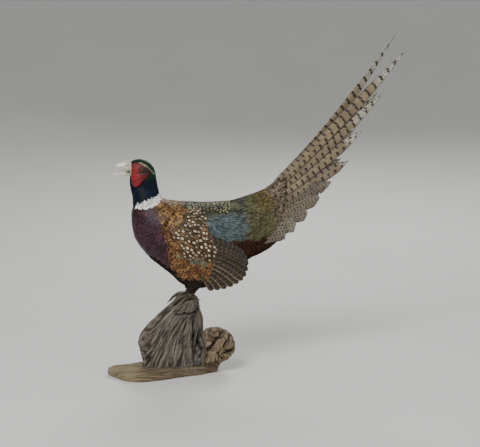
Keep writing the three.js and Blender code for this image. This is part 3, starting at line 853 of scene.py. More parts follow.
def dash_mask(finish, lean, along_step, across_step):
    """1 on short dashes in staggered rows that rise to the rear by an angle over the side view."""
    x, _, z = finish.place.split()
    way_x, way_z = math.cos(math.radians(lean)) / MM, math.sin(math.radians(lean)) / MM
    stray = finish.stray(60.0, 2.0, 8.0)
    along = x * way_x + (z * way_z + stray)
    across = x * -way_z + (z * way_x + stray)
    return staggered(along / along_step, across / across_step, 0.36, 0.68)


def painted_vane(finish, across, along, tone, tract):
    """The colour of a vane: its ground from a dark to a light tone, then each mark over it.

    A strength of two numbers is that of the mark where it is weakest and strongest over the coat."""
    masks = {"rim": lambda *shape: rim_mask(across, along, *shape),
             "spot": lambda *shape: spot_mask(across, along, *shape),
             "bars": lambda spacing, share: bar_mask(along / spacing, share),
             "dashes": lambda *shape: dash_mask(finish, *shape)}
    light = tone.rise(0.15, 0.85)
    paint = finish.mix(light, *tract.ground)
    if tract.away:
        paint = finish.mix(finish.attribute("fade"), paint, finish.mix(light, *tract.away))
    cloud = finish.noise(45.0, 1.0)
    for kind, shape, strength, hue in tract.marks:
        if isinstance(strength, tuple):
            strength = cloud.rise(0.36, 0.58, *strength)
        paint = finish.mix(masks[kind](*shape) * strength, paint, hue)
    return paint


def barbs(across, along, count=46.0, slant=7.0):
    """The height of fine ridges that run from the shaft out towards the tip, and of the shaft itself."""
    off = abs(across)
    ridge = ((along * count - off * slant) * (2 * math.pi)).op("SINE")
    return ridge * 0.5 + off.rise(0.1, 0.03, 0.0, 2.5)


def mottled(finish, paint, tone, low=0.62, high=1.05):
    """A colour made uneven from feather to feather and over the coat."""
    cloud = finish.noise(110.0, 3.0).rise(0.3, 0.7, low, high)
    return paint.scaled(cloud * tone.rise(0.0, 1.0, 0.8, 1.16))


def feather_material(name, tract):
    """The finish of a tract's vanes, a little uneven from one to the next."""
    finish = Finish(name)
    u, v, _ = finish.out("ShaderNodeUVMap", uv_map="Vane").split()
    stray = finish.stray(700.0, 2.0, 0.12)
    across, along = u * 2.0 - 1.0 + stray * 2.0, v + stray
    tone = finish.attribute("tint")
    paint = mottled(finish, painted_vane(finish, across, along, tone, tract), tone)
    surface = {"Roughness": tract.roughness, "Metallic": tract.metallic,
               "Specular IOR Level": tract.specular}
    return finish.done(paint, surface, barbs(across, along), 0.1, 0.3)


# ---- Plumage: tracts ----------------------------------------------------------------------------

# A tract has its kind of vane, that vane's length, width and spacing, the lift of its tip and the
# droop of its edges, the record's slot, two grounds and the marks over them. A tract that fades
# also has two grounds away from its middle, and that middle with its half width and height, or it
# fades towards the breast.
Tract = namedtuple("Tract", "vane size lift slot ground marks away fade roughness specular metallic",
                   defaults=(None, None, 0.62, 0.25, 0.0))
TO_BREAST = {"away": (0x3E2220, 0x5C3A30), "fade": "to breast", "roughness": 0.5, "specular": 0.3}
TRACTS = {
    "crown": Tract("round", (6.5, 3.8, 2.1), (0.9, 0.2), "crown_feathers", (0x06170F, 0x11241A),
                   [("rim", (0.86, 0.08), 0.8, 0x1C3A28)], roughness=0.5, specular=0.14),
    "brow": Tract("hair", (4.6, 1.8, 1.05), (1.5, 0.1), "crown_feathers", (0xB3AB92, 0xD2CBB4),
                  [("rim", (0.9, 0.1), 0.5, 0xE6E0CC)],
                  (0x4A5F4C, 0x6B7A62), ((-64, 451), (19, 30)), roughness=0.8, specular=0.1),
    "throat": Tract("round", (6.5, 4, 2.2), (0.9, 0.2), "neck_feathers", (0x070C0E, 0x0A1216),
                    [("rim", (0.84, 0.08), 0.6, 0x0D242C)], roughness=0.55, specular=0.12),
    # The neck's blue tips are painted sheen: the gloss of its dark feathers laid into their colour.
    "neck": Tract("round", (9.5, 5.8, 2.9), (1.4, 0.3), "neck_feathers", (0x04070C, 0x060D1A),
                  [("rim", (0.8, 0.1), (0.3, 1.0), 0x0B1B31)], roughness=0.46, specular=0.14),
    "ring": Tract("round", (7.5, 3.4, 1.9), (1.8, 0.25), "collar_feathers", (0xE9E7E0, 0xF6F4EE),
                  [("rim", (0.8, 0.15), 0.7, 0xFCFBF8)], roughness=0.85, specular=0.1),
    # The breast's mauve spots, patchy over the coat, are painted sheen; its dark tips are its own colour.
    "breast": Tract("round", (20, 12, 5), (2.6, 0.7), "body_feathers", (0x2B1417, 0x3A1C23),
                    [("spot", (0.8, 0.75, 0.2, 0.5), (0.25, 1.0), 0x50303E),
                     ("rim", (0.95, 0.03), 0.9, 0x120B0D), ("spot", (1.0, 0.2, 0.1), 1, 0x110A0C)],
                    roughness=0.45, specular=0.3, metallic=0.1),
    "mantle": Tract("round", (17, 10, 5.2), (2.4, 0.35), "body_feathers", (0x76542A, 0x9E7845),
                    [("rim", (0.93, 0.04), (0.2, 0.7), 0x74441F),
                     ("spot", (0.68, 0.26, 0.09), 0.7, 0x3A2614), ("spot", (0.92, 0.4, 0.08), 1, 0x17100A)],
                    **TO_BREAST),
    "back": Tract("round", (20, 12, 6.6), (2.6, 0.4), "body_feathers", (0x3F4529, 0x67613C),
                  [("spot", (0.8, 0.85, 0.19), 1, 0x15170F),
                   ("spot", (0.85, 0.36, 0.1), (0.5, 1.0), 0xB9B28E),
                   ("rim", (0.95, 0.04), (0.0, 0.8), 0x6E6B42), ("spot", (0.8, 0.16, 0.05), 1, 0x17170F)],
                  roughness=0.6),
    "scapular": Tract("round", (26, 15, 8), (2.9, 0.5), "wing_feathers", (0x54452A, 0x74623E),
                      [("rim", (0.95, 0.03), 0.9, 0x4B3A24), ("spot", (0.52, 0.4, 0.08), 0.8, 0x2A1C10),
                       ("spot", (0.83, 0.62, 0.18), 1, 0x1B130C),
                       ("spot", (0.84, 0.28, 0.11), (0.5, 1.0), 0xCFC19B)], roughness=0.56),
    "covert": Tract("round", (30, 17, 9.6), (3, 0.5), "wing_feathers", (0x523A25, 0x836445),
                    [("rim", (0.95, 0.04), 0.8, 0x47251A), ("spot", (0.5, 0.44, 0.07), 0.8, 0x2E1D12),
                     ("spot", (0.82, 0.54, 0.19), 1.0, 0x24160D),
                     ("spot", (0.83, 0.27, 0.115), (0.35, 1.0), 0xD2C5A0)], roughness=0.56),
    "greygreen": Tract("round", (20, 11, 5.6), (2.4, 0.6), "wing_feathers", (0x595D48, 0x73705E),
                       [("rim", (0.9, 0.06), 0.8, 0x4A4E38)], roughness=0.6),
    "flank": Tract("round", (20, 12, 6), (2.6, 0.4), "body_feathers", (0x704A28, 0x98703F),
                   [("rim", (0.9, 0.07), (0.2, 0.7), 0x7E461E), ("spot", (0.92, 0.44, 0.075), 1, 0x120D0A)],
                   **TO_BREAST),
    "rump": Tract("hair", (28, 7.5, 4), (1.5, 0.3), "rump_feathers", (0x505D62, 0x657275),
                  [("bars", (0.13, 0.3), 0.4, 0x323C40), ("rim", (0.9, 0.08), 0.5, 0x6C7872)],
                  (0x45442F, 0x65644B), ((112, 316), (44, 31)), roughness=0.7),
    "tail_covert": Tract("hair", (38, 8, 4.8), (1.7, 0.3), "rump_feathers", (0x65562E, 0x7A663A),
                         [("bars", (0.11, 0.3), 0.15, 0x3A3622),
                          ("rim", (0.86, 0.1), (0.0, 0.6), 0x666846)],
                         (0x58543A, 0x6B6748), ((200, 371), (25, 22)), roughness=0.7),
    "tail_base": Tract("hair", (26, 10, 5), (1.6, 0.3), "rump_feathers", (0x766A55, 0x887B64),
                       [("rim", (0.92, 0.08), 0.5, 0x645A4E), ("dashes", (40, 11, 11), 0.65, 0x2A2118)],
                       roughness=0.6),
    "vent": Tract("hair", (30, 8.5, 5), (2.8, 0.4), "rump_feathers", (0x271409, 0x432412),
                  [("rim", (0.85, 0.12), 0.6, 0x553218)], roughness=0.75),
    "belly": Tract("hair", (24, 9, 5.4), (2.6, 0.4), "thigh_feathers", (0x110D0A, 0x231910),
                   [("rim", (0.85, 0.12), 0.6, 0x332519)], roughness=0.8),
    "thigh": Tract("hair", (14, 6, 3.4), (1.6, 0.3), "thigh_feathers", (0x1A130D, 0x2D2117),
                   [("rim", (0.85, 0.12), 0.6, 0x423120)], roughness=0.8),
}
TRACT_NAMES = list(TRACTS)

# Borders in side view, as [x, z] points from top to bottom or from front to back.
BREAST_EDGE = [
    (-38, 366), (-31, 347), (-24, 327), (-18, 306), (-12, 286), (-14, 265), (-6, 240), (10, 215), (28, 190),
]
MANTLE_EDGE = [
    (34, 380), (28, 353), (15, 333), (-2, 322), (-9, 316), (2, 297), (16, 272), (34, 259), (34, 180),
]
FLANK_END = 80
COVERT_EDGE = [(66, 350), (66, 327), (72, 310), (82, 295), (93, 278), (99, 262), (99, 180)]
WING_TOP = [(-40, 330), (0, 318), (20, 326), (44, 322), (66, 327)]
WING_FOOT = [(-40, 300), (-13, 290), (6, 272), (30, 266), (60, 258), (110, 250)]
PATCH_FOOT = [(0, 266), (30, 254), (60, 242), (110, 236)]
TAIL_START = [(180, 410), (189, 397), (202, 378), (214, 357), (219, 338), (218, 240)]
# The white ring's edges, as rows of STATIONS, from the throat (-1) to the nape (1).
RING_ROWS = {
    "place": [-1, -0.8, 0, 0.7, 1], "top": [9.5, 9.4, 8.95, 8.3, 8.0], "foot": [9.9, 10.0, 10.3, 9.6, 9.0],
}
RING_GAP = (-14, -5)  # the ring is open here, left of the middle of the throat
BROW = [(-58.5, 449.4), (-53, 446.8), (-43, 439.4), (-38.5, 434.8), (-31, 426.5)]
BROW_WIDTH = (1.9, 1.2)  # half width at its front and rear end


def edge_x(border, z):
    """x of a border at heights z."""
    points = sorted((pz, px) for px, pz in border)
    return np.interp(z, [p[0] for p in points], [p[1] for p in points])


def edge_z(border, x):
    """Height of a border at places x."""
    points = sorted(border)
    return np.interp(x, [p[0] for p in points], [p[1] for p in points])


def tracts_at(place):
    """The number of the tract that each place on the skin belongs to."""
    shift = wobble(place, 14, 1) * 3.0 + wobble(place, 5, 2) * 1.5
    x, z = place[:, 0] + shift, place[:, 2] + wobble(place, 14, 3) * 3.0
    spine, across, half_width = on_body(place[:, 0], place[:, 2])
    row = spine * (len(STATIONS) - 1)
    y = place[:, 1]
    outer = np.abs(y) > 24
    tract = np.full(len(place), TRACT_NAMES.index("breast"))

    def paint(name, where):
        tract[where] = TRACT_NAMES.index(name)

    behind_breast = (row > 8.5) & (x > edge_x(BREAST_EDGE, z))
    behind_mantle = behind_breast & (x > edge_x(MANTLE_EDGE, z))
    on_wing = behind_mantle & (x < edge_x(COVERT_EDGE, z)) & outer
    wing_top, wing_foot, patch_foot = (edge_z(edge, x) for edge in (WING_TOP, WING_FOOT, PATCH_FOOT))
    before_wing = (x < edge_x(MANTLE_EDGE, z)) & (z < 312)
    paint("mantle", behind_breast)
    paint("flank", behind_breast & ((z < wing_foot) | before_wing) & (x < FLANK_END))
    paint("back", behind_mantle & (z > 318))
    paint("scapular", on_wing & (z < 352) & (z > wing_top))
    paint("covert", on_wing & (z < wing_top) & (z > wing_foot))
    paint("greygreen", (z < wing_foot) & (z > patch_foot) & (x > 4) & (x < 72) & outer)
    rear = x > edge_x(COVERT_EDGE, z)
    paint("rump", rear & (x > 66) & (x < 156) & ((z < 350) | (x > 122)))
    paint("tail_covert", rear & (x >= 156))
    paint("tail_base", x > edge_x(TAIL_START, z))
    paint("vent", (z < 286) & (x > 96))
    paint("vent", behind_breast & (z < patch_foot) & (x > FLANK_END))
    paint("belly", (row > 14.5) & (across < -0.86) & (x < 130))
    paint("belly", (row > 14.5) & (np.abs(y) < 20) & (z < 250) & (x < 120))
    paint("thigh", (z < 214) & (x > 28) & (x < 76) & (half_width < np.abs(y) + 40) & (across < -0.7))

    foot = np.interp(across, RING_ROWS["place"], RING_ROWS["foot"]) + wobble(place, 5, 4) * 0.035
    top = np.interp(across, RING_ROWS["place"], RING_ROWS["top"]) + wobble(place, 5, 5) * 0.035
    gap = (across < -0.6) & (y > RING_GAP[0]) & (y < RING_GAP[1])
    paint("ring", (row > top) & (row < foot))
    paint("neck", (row <= top) | ((row < foot) & gap))
    paint("throat", (row < 8) & (across < 0.1) & (row < 6.4 + across))
    paint("crown", (row < 5.2) & (across > -0.1))
    paint("crown", row < 2.4)
    paint("brow", off_brow(place) < 1)
    return tract


def off_brow(place):
    """How far places are from the brow's line, in its half widths."""
    flat = place[:, [0, 2]]
    half = np.interp(flat[:, 0], [BROW[0][0], BROW[-1][0]], BROW_WIDTH)
    off = []
    for start, end in zip(np.array(BROW), np.array(BROW)[1:]):
        line = end - start
        share = np.clip((flat - start) @ line / (line @ line), 0, 1)
        off.append(np.linalg.norm(flat - start - share[:, None] * line, axis=1))
    return np.min(off, axis=0) / half + 9 * (np.abs(place[:, 1]) < 5)


def fade_at(tract, place):
    """0 in the middle of a tract that fades and 1 away from it, or at the edge of the breast."""
    if tract.fade == "to breast":
        behind = place[:, 0] - edge_x(BREAST_EDGE, place[:, 2]) + 3 * wobble(place, 9, 31)
        return smooth(behind, 11, -3)
    (x, z), (half_x, half_z) = tract.fade
    off = np.hypot((place[:, 0] - x) / half_x, (place[:, 2] - z) / half_z)
    return smooth(off + 0.12 * wobble(place, 9, 31), 0.7, 1.25)


def inside_outline(x, z, outline):
    """Whether points of the side view lie inside a closed outline."""
    inside = np.zeros(len(x), bool)
    for (ax, az), (bx, bz) in zip(outline, outline[1:] + outline[:1]):
        crosses = (az > z) != (bz > z)
        inside ^= crosses & (x < ax + (z - az) * (bx - ax) / (bz - az))
    return inside


def bare(place):
    """Where no feathers grow: under the face patches, round the bill and on the tail's root."""
    x, y, z = place.T
    face = inside_outline(x, z, WATTLE_OUTLINE) & (np.abs(y) > 8)
    gape = (x < -74.5) & (z > 420) & (z < 452) & (np.abs(y) < 9.5)
    return face | gape | (x > TAIL_ROOT["x"])


def unwrapped(place):
    """Places on an unwrap of the skin, cut along the belly: round the body, then along its spine."""
    spine, across, _ = on_body(place[:, 0], place[:, 2])
    turn = np.arccos(np.clip(-across, -1, 1)) / math.pi * np.sign(place[:, 1])
    return points_of(0.5 + 0.49 * turn, 0.01 + 0.98 * spine, 0.0)


def surface_of(mesh):
    """A mesh's surface in millimetres, for finding nearest places and casting rays."""
    faces = [tuple(face.vertices) for face in mesh.polygons]
    return BVHTree.FromPolygons((vertex_array(mesh) / MM).tolist(), faces)


def skin_normals(mesh, place):
    """The skin's direction outwards at places, evened over the nearest points."""
    finder = finder_of(vertex_array(mesh) / MM)
    normals = np.empty(len(mesh.vertices) * 3)
    mesh.attributes["lie_normal"].data.foreach_get("vector", normals)
    normals = normals.reshape(-1, 3)
    return unit(np.array([sum(normals[k] for _, k, _ in finder.find_n(p, 4)) for p in place]))


def grow_plumage(skin, surface, vanes):
    """One piece of coat for each tract, all over the skin."""
    draw = np.random.default_rng(SEED)
    gap = np.array([tract.size[2] for tract in TRACTS.values()])
    place = scattered(skin.data, CANDIDATES, draw)
    near_brow = np.repeat(place[off_brow(place) < BROW_SEED["within"]], BROW_SEED["copies"], axis=0)
    near_brow = near_brow + draw.normal(size=near_brow.shape)
    place = np.vstack([place, [surface.find_nearest(p)[0] for p in near_brow]])
    place = place[~bare(place)]
    place = place[spaced(place, gap[tracts_at(place)] * ROOT_GAP, draw)]
    place = evened(place, gap[tracts_at(place)], surface)
    place = place[~bare(place)]
    normals = skin_normals(skin.data, place)
    flow = unit(lie_of_coat(place, normals) + STRAY["flow"] * draw.normal(size=place.shape))
    length = np.array([tract.size[0] for tract in TRACTS.values()])[tracts_at(place)]
    stray = draw.normal(size=place.shape) * [1, 0, 1] * STRAY["tip"] * length[:, None]
    numbers = tracts_at(place + flow * TIP_SHARE * length[:, None] + stray)
    on_map = unwrapped(place)
    group = plumage_group()
    for number, (name, tract) in enumerate(TRACTS.items()):
        here = numbers == number
        laying = {"root_normal": normals[here], "flow": flow[here], "root_map": on_map[here]}
        given = {"Skin": skin, "Vanes": vanes[tract.vane]}
        coat_piece(name, tract, place[here], laying, group, given, draw)
    for kind in vanes.values():
        for vane in list(kind.objects):
            bpy.data.objects.remove(vane)
        bpy.data.collections.remove(kind)


def coat_piece(name, tract, place, laying, group, given, draw):
    """The feathers of one tract as a plain mesh."""
    count = len(place)
    scale = draw.uniform(*STRAY["size"], count)
    length = tract.size[0] * scale
    width = tract.size[1] * scale * draw.uniform(*STRAY["size"], count)
    lift = tract.lift[0] * scale * draw.uniform(*STRAY["lift"], count)
    laying = {**laying, "size": points_of(length, width, length) * MM, "lift": lift * MM,
              "droop": tract.lift[1] * scale * MM, "cling": smooth(place[:, 0], *TAIL_ROOT["cling_x"])}
    roots = bpy.data.meshes.new(name)
    roots.from_pydata((place * MM).tolist(), [], [])
    for key, values in laying.items():
        store(roots, key, values)
    store(roots, "tint", draw.random(count))
    if tract.fade:
        store(roots, "fade", fade_at(tract, place + TIP_SHARE * length[:, None] * laying["flow"]))
    material = feather_material(f"{name}_coat", tract)
    values = {**given, "Patch": PATCH, "Base height": BASE_HEIGHT * MM, "Seed": SEED, "Material": material}
    piece = grown(add_object(roots, name), f"feathers_{name}", group, values)
    for spare in (*laying, "climb", "arch", "thick"):
        piece.data.attributes.remove(piece.data.attributes[spare])
    finished(piece, tract.slot, material)


def dress_skin(skin):
    """The skin's own finish, with the ground colours of the coat over it."""
    place = vertex_array(skin.data) / MM
    numbers = tracts_at(place)
    paint = np.array([colour(tract.ground[0]) for tract in TRACTS.values()])[numbers]
    for number, tract in enumerate(TRACTS.values()):
        if tract.fade:
            here = numbers == number
            away = fade_at(tract, place[here])[:, None]
            paint[here] = paint[here] * (1 - away) + away * np.array(colour(tract.away[0]))
    skin.data.color_attributes.new("coat", "FLOAT_COLOR", "POINT").data.foreach_set("color", paint.ravel())
    finish = Finish("skin_down")
    down = finish.noise(900.0, 3.0)
    tone = mottled(finish, finish.attribute("coat", "Color"), down, 0.6, 1.1)
    one_material(skin, finish.done(tone, {"Roughness": 0.9}, down, 0.4, 0.5))


# ---- Long feathers: tail and flight feathers ------------------------------------------------------

TAIL = {
    "x": 228, "top_z": 397, "step_z": 12.1, "first_y": 4.5, "step_y": 2.7, "rise": (41, 14), "lean": 17,
    "bend": 0.38, "buried": 60, "buried_spread": 0.75, "half_width": (12, 17.5), "taper_from": (0.66, 0.84),
    "taper_power": (1.35, 2.0), "tip_taper": 0.94, "root_width": 0.45, "row": 4.2,
}
# Tips of one side's tail feathers, from the central pair outwards.
TAIL_TIPS = [
    (501, 14, 674), (452, 17, 586), (404, 22, 508), (375, 27, 446), (337, 31, 404),
    (312, 34, 373), (286, 36, 341), (261, 37, 317), (240, 37, 300),
]
# The right central feather is set a little steeper; its rank of less than nought gives it a longer pale tip
# and paints light over the rest of it, whose underside lies in shade.
FAR_CENTRAL = {"tip": (487, 16, 705), "rank": -0.1}
# The tail's black bars stand this far apart at the root, and further apart at a distance from it.
BAR_SPACING = {"first": 11, "later": 20, "distance": 330}
# Flight feathers of a wing, from the upper to the lower: roots and tips in side view.
QUILL_ROOTS = [(74, 294), (74, 280), (72, 266), (68, 250), (64, 234), (60, 220)]
QUILL_TIPS = [(152, 257), (159, 238), (154, 214), (138, 199), (112, 189), (84, 186)]
QUILL = {
    "count": 11, "rows": 26, "half_width": 9.5, "round_from": 0.8, "over": 3, "root_y": 44, "tip_y": 43,
    "sink": 3.5, "tilt": 1.6, "bulge": (1.5, 4, 5),
}
LONG_VANE = {
    "columns": 8, "shaft": 1.1, "edge": 0.24, "arch": 0.9, "sweep": 5, "fray": 0.1, "split": 0.3,
    "split_chance": 0.06, "ease": 30, "full_arch": 8, "thin_from": 90, "thin_to": 0.35,
}
def lengths_along(points):
    """How far each point of a line is from its start, along the line."""
    return np.concatenate([[0], np.cumsum(np.linalg.norm(np.diff(points, axis=0), axis=1))])


def long_feather(centre, across, width, draw, rank):
    """A feather along a curve: arrays of points, faces and what its finish needs, in a dictionary."""
    rows, columns = len(centre) - 1, LONG_VANE["columns"]
    along = unit(np.gradient(centre, axis=0))
    wide = unit(across - along * np.sum(across * along, axis=1, keepdims=True))
    flat = np.cross(along, wide)
    flat = flat * np.sign(flat[0, 1] * centre[-1, 1])
    distance = lengths_along(centre)
    from_tip = distance[-1] - distance

    w = np.linspace(-1, 1, columns + 1)[None, :] * np.ones((rows + 1, 1))
    frayed = 1 - LONG_VANE["fray"] * draw.random((rows + 1, 2))
    split = draw.random((rows + 1, 2)) < LONG_VANE["split_chance"]
    frayed = frayed - LONG_VANE["split"] * split * draw.random((rows + 1, 2))
    frayed = np.where(w < 0, frayed[:, :1], frayed[:, 1:])
    reach = w * width[:, None] * (1 - np.abs(w) ** 3 * (1 - frayed))
    ease = np.minimum(1, from_tip / LONG_VANE["ease"]) * np.minimum(1, distance / LONG_VANE["ease"])
    sweep = LONG_VANE["sweep"] * w ** 2 * ease[:, None]
    height = -LONG_VANE["arch"] * w ** 2 * np.minimum(1, width / LONG_VANE["full_arch"])[:, None]
    sheet = (centre[:, None] + wide[:, None] * reach[..., None] + along[:, None] * sweep[..., None]
             + flat[:, None] * height[..., None])
    thinning = np.interp(from_tip, [0, LONG_VANE["thin_from"]], [LONG_VANE["thin_to"], 1])[:, None]
    half = 0.5 * thinning * np.where(np.abs(w) < 0.1, LONG_VANE["shaft"], LONG_VANE["edge"])
    top, faces = two_sheets(rows, columns)
    normal = on_both(np.broadcast_to(flat[:, None], sheet.shape))
    points = on_both(sheet) + normal * (sheet_sides(top.shape) * on_both(half))[:, None]

    def spread(values):
        return on_both(np.broadcast_to(values[:, None], top.shape))

    return {"points": points, "faces": faces, "across": on_both(w), "distance": spread(distance),
            "from_tip": spread(from_tip), "rank": np.full(len(points), rank),
            "tint": np.full(len(points), draw.random()), "share": spread(distance / distance[-1])}


def feathers_piece(name, feathers, slot, material, node):
    """Long feathers as one piece, each with its own strip of the unwrap."""
    start, points, faces, strip = 0, [], [], []
    for k, feather in enumerate(feathers):
        points.append(feather["points"])
        faces += (feather["faces"] + start).tolist()
        start += len(feather["points"])
        u = (k + 0.5 + 0.46 * feather["across"]) / len(feathers)
        strip.append(points_of(u, 0.01 + 0.98 * feather["share"]))
    mesh = bpy.data.meshes.new(name)
    mesh.from_pydata((np.vstack(points) * MM).tolist(), [], faces)
    store_corners(mesh, "OFBake", np.vstack(strip))
    for key in ("across", "distance", "from_tip", "rank", "tint"):
        store(mesh, key, np.concatenate([feather[key] for feather in feathers]))
    finished(add_object(mesh, name), slot, material, node)


def tail_feather(side, number, draw):
    """One tail feather, counted from the central one."""
    rank = number / (len(TAIL_TIPS) - 1)
    far_central = side > 0 and number == 0

    def between(key):
        return TAIL[key][0] + (TAIL[key][1] - TAIL[key][0]) * rank

    tip = np.array(FAR_CENTRAL["tip"] if far_central else TAIL_TIPS[number], float) * [1, side, 1]
    rise, lean = math.radians(between("rise")), math.radians(TAIL["lean"])
    along = np.array([math.cos(rise), 0, math.sin(rise)])
    y = side * (TAIL["first_y"] + TAIL["step_y"] * number)
    leaving = np.array([TAIL["x"], y, TAIL["top_z"] - TAIL["step_z"] * number])
    root = leaving - TAIL["buried"] * along
    root[1] = TAIL["buried_spread"] * y
    bend = leaving + TAIL["bend"] * np.linalg.norm(tip - leaving) * along
    t = steps(int(np.linalg.norm(tip - root) / TAIL["row"]) + 1)[:, None]
    centre = (1 - t) ** 2 * root + 2 * t * (1 - t) * bend + t * t * tip
    taper_from = between("taper_from")
    taper = np.maximum(0, (t[:, 0] - taper_from) / (1 - taper_from)) ** between("taper_power")
    broadening = np.minimum(1, TAIL["root_width"] + 3 * t[:, 0])
    width = between("half_width") * (1 - TAIL["tip_taper"] * taper) * broadening
    across = np.array([0, side * math.sin(lean), -math.cos(lean)])
    return long_feather(centre, across, width, draw, FAR_CENTRAL["rank"] if far_central else rank)


def quill_feather(side, number, draw):
    """One flight feather of a folded wing, counted from the uppermost."""
    share = number / (QUILL["count"] - 1)
    root, tip = through(QUILL_ROOTS, share)[0], through(QUILL_TIPS, share)[0]
    t = steps(QUILL["rows"])
    bulge_x, bulge_y, bulge_z = (most * np.sin(math.pi * t) for most in QUILL["bulge"])
    x = root[0] + (tip[0] - root[0]) * t + bulge_x
    z = root[1] + (tip[1] - root[1]) * t + bulge_z
    sink = QUILL["sink"] * share
    least = QUILL["root_y"] + (QUILL["tip_y"] - QUILL["root_y"]) * t + bulge_y - sink
    y = np.maximum(on_body(x, z)[2] + QUILL["over"] - sink, least)
    centre = points_of(x, side * y, z)
    way = unit(centre[-1] - centre[0])
    across = np.array([way[2], side * QUILL["tilt"] / QUILL["half_width"], -way[0]])
    rounding = np.clip((t - QUILL["round_from"]) / (1 - QUILL["round_from"]), 0, 1)
    width = QUILL["half_width"] * np.sqrt(np.clip(1 - rounding ** 2, 0.02, 1))
    return long_feather(centre, across, width, draw, share)


def bars_passed(distance):
    """A number that grows by one from bar to bar, as the bars stand ever further apart."""
    first = BAR_SPACING["first"]
    stretch = (BAR_SPACING["later"] - first) / BAR_SPACING["distance"]
    return (distance * (stretch / first) + 1.0).op("LOGARITHM", math.e) / stretch


def tail_material():
    """Buff with black bars, freckled on the outer feathers, with pale tips and painted light over the far
    central feather.
    """
    finish = Finish("tail_feathers_barred")
    across, distance, rank, tone = finish.attributes("across", "distance", "rank", "tint")
    from_tip = finish.attribute("from_tip")
    off = abs(across)
    stray = finish.stray(260.0, 2.0, 0.5)
    fine = finish.noise(900.0, 3.0)
    far_central = rank.rise(0.0, FAR_CENTRAL["rank"])
    pale_length = far_central * 45.0 + rank.rise(0.1, 0.34, 108.0, 22.0)
    pale = (from_tip + (fine * 30.0 - 15.0)).rise(pale_length, pale_length * 0.65)
    ground = finish.mix(finish.noise(35.0, 2.0).rise(0.3, 0.7), 0x645740, 0x7E6F52)
    ground = finish.layers(
        ground,
        (off.rise(0.5, 1.0), 0x6E6054),
        (rank * 0.85, 0x6A6253),
        (fine.rise(0.5, 0.6) * rank.rise(0.1, 0.6, 0.2, 0.5), 0x3F3529),
        # Painted light: the far central feather is made paler, as its underside lies in shade.
        (far_central * 0.5, 0xA3967A),
        (pale * rank.rise(0.25, 0.6, 0.95, 0.2), 0xA8A496))

    # Bold bars: broken at the sides of the central feathers' roots and whole towards the tip.
    short = distance.rise(240.0, 170.0) | rank.rise(0.1, 0.2)
    side_step = across.rise(-0.05, 0.05) * (short * 0.3 + 0.08)
    shifts = (off - 0.2) * 0.12 + side_step + stray * from_tip.rise(110.0, 40.0, 0.5, 1.3)
    level = across * across * LONG_VANE["sweep"] + distance
    gap = short * (stray * 0.4 + abs(off - 0.55)).rise(0.32, 0.42)
    bold = bar_mask(bars_passed(level) + shifts, 0.27) * (1.0 - gap)
    bold = bold * rank.rise(0.75, 0.35) * off.rise(1.0, 0.6, 0.3, 1.0)
    # Small dots: on the outer feathers. Specks: on the pale tips.
    dots = staggered(stray * 0.5 + level / 6.8, off * 2.6 + stray * 0.5, 0.5, 0.7)
    dots = dots * off.rise(0.96, 0.84) * rank.rise(0.3, 0.6, 0.0, 0.9)
    specks = pale * finish.noise(420.0, 2.0).rise(0.54, 0.6, 0.0, 0.8)
    ground = finish.layers(ground, (bold | dots | specks, 0x150F0A), (off.rise(0.07, 0.03) * 0.6, 0x6A5A40))
    paint = mottled(finish, ground, tone, 0.85, 1.12)
    return finish.done(paint, {"Roughness": 0.6, "Specular IOR Level": 0.35},
                       barbs(across, distance, 0.55, 1.4), 0.15, 0.4)


def quill_material():
    """Dark brown with slanting buff bars and a pale edge."""
    finish = Finish("flight_feathers_barred")
    across, distance, rank, tone = finish.attributes("across", "distance", "rank", "tint")
    off = abs(across)
    stray = finish.stray(200.0, 2.0, 0.7)
    bars = bar_mask(distance / 10.5 + off * 0.9 + stray, 0.3) * off.rise(0.12, 0.3, 0.1, 0.7)
    edge = (across + stray * 0.3).rise(0.66, 0.85, 0.0, rank.rise(0.15, 0.5, 0.25, 0.95))
    ground = finish.mix(finish.noise(60.0, 3.0), 0x15100C, 0x2A2119)
    ground = finish.layers(ground, (bars, 0x5A4A36), (edge, 0x877756))
    paint = mottled(finish, ground, tone, 0.85, 1.15)
    return finish.done(paint, {"Roughness": 0.55, "Specular IOR Level": 0.4},
                       barbs(across, distance, 0.6, 1.4), 0.15, 0.4)


def make_long_feathers():
    """The tail as one piece, and each wing's flight feathers as another."""
    draw = np.random.default_rng(SEED + 1)
    tail = [tail_feather(side, k, draw) for side in SIDES for k in range(len(TAIL_TIPS))]
    feathers_piece("tail_feathers", tail, "tail_feathers", tail_material(), "tail")
    finish = quill_material()
    for side, label in SIDE_NAMES.items():
        quills = [quill_feather(side, k, draw) for k in range(QUILL["count"])]
        name = f"flight_feathers_visual_{label}"
        feathers_piece(name, quills, "flight_feathers", finish, f"flight_feathers_{label}")


# ---- Head: bill, tongue, eyes and bare face -------------------------------------------------------

EYE = {"x": -55, "y": 14.9, "z": 436, "radius": 5.1, "iris": 4.2, "pupil": 2.3}
LID = {"half_x": 4.4, "half_z": 3.85, "thickness": 0.6, "over": 0.1, "around": 64, "across": 10}
# Bill sections: [x, topZ, bottomZ, halfWidth].
UPPER_BILL = [
    [-70, 450, 434, 8.4], [-76, 450.5, 434, 8.6], [-82, 451, 435, 8.2], [-88, 451.2, 438, 7.2],
    [-95, 450.4, 440.6, 5.8], [-102, 448, 441.2, 3.9], [-106, 445.4, 440.6, 2.1], [-107.2, 443.4, 441, 0.7],
]
LOWER_BILL = [
    [-70, 428, 421.5, 7.7], [-76, 428.5, 421.5, 7.8], [-82, 428.2, 422.3, 7.6],
    [-89, 430.2, 423.2, 6.6], [-97, 430.6, 423.8, 5.2], [-105, 429, 424.3, 3.6],
    [-111, 426.8, 424.4, 1.9], [-112.6, 425.8, 424.7, 0.7],
]
# Rings of each half, points over the dome and under the roof of a ring, and how hollow each roof is.
BILL = {"rings": 44, "dome": 17, "roof": 9, "upper_hollow": 0.3, "lower_hollow": 0.45}
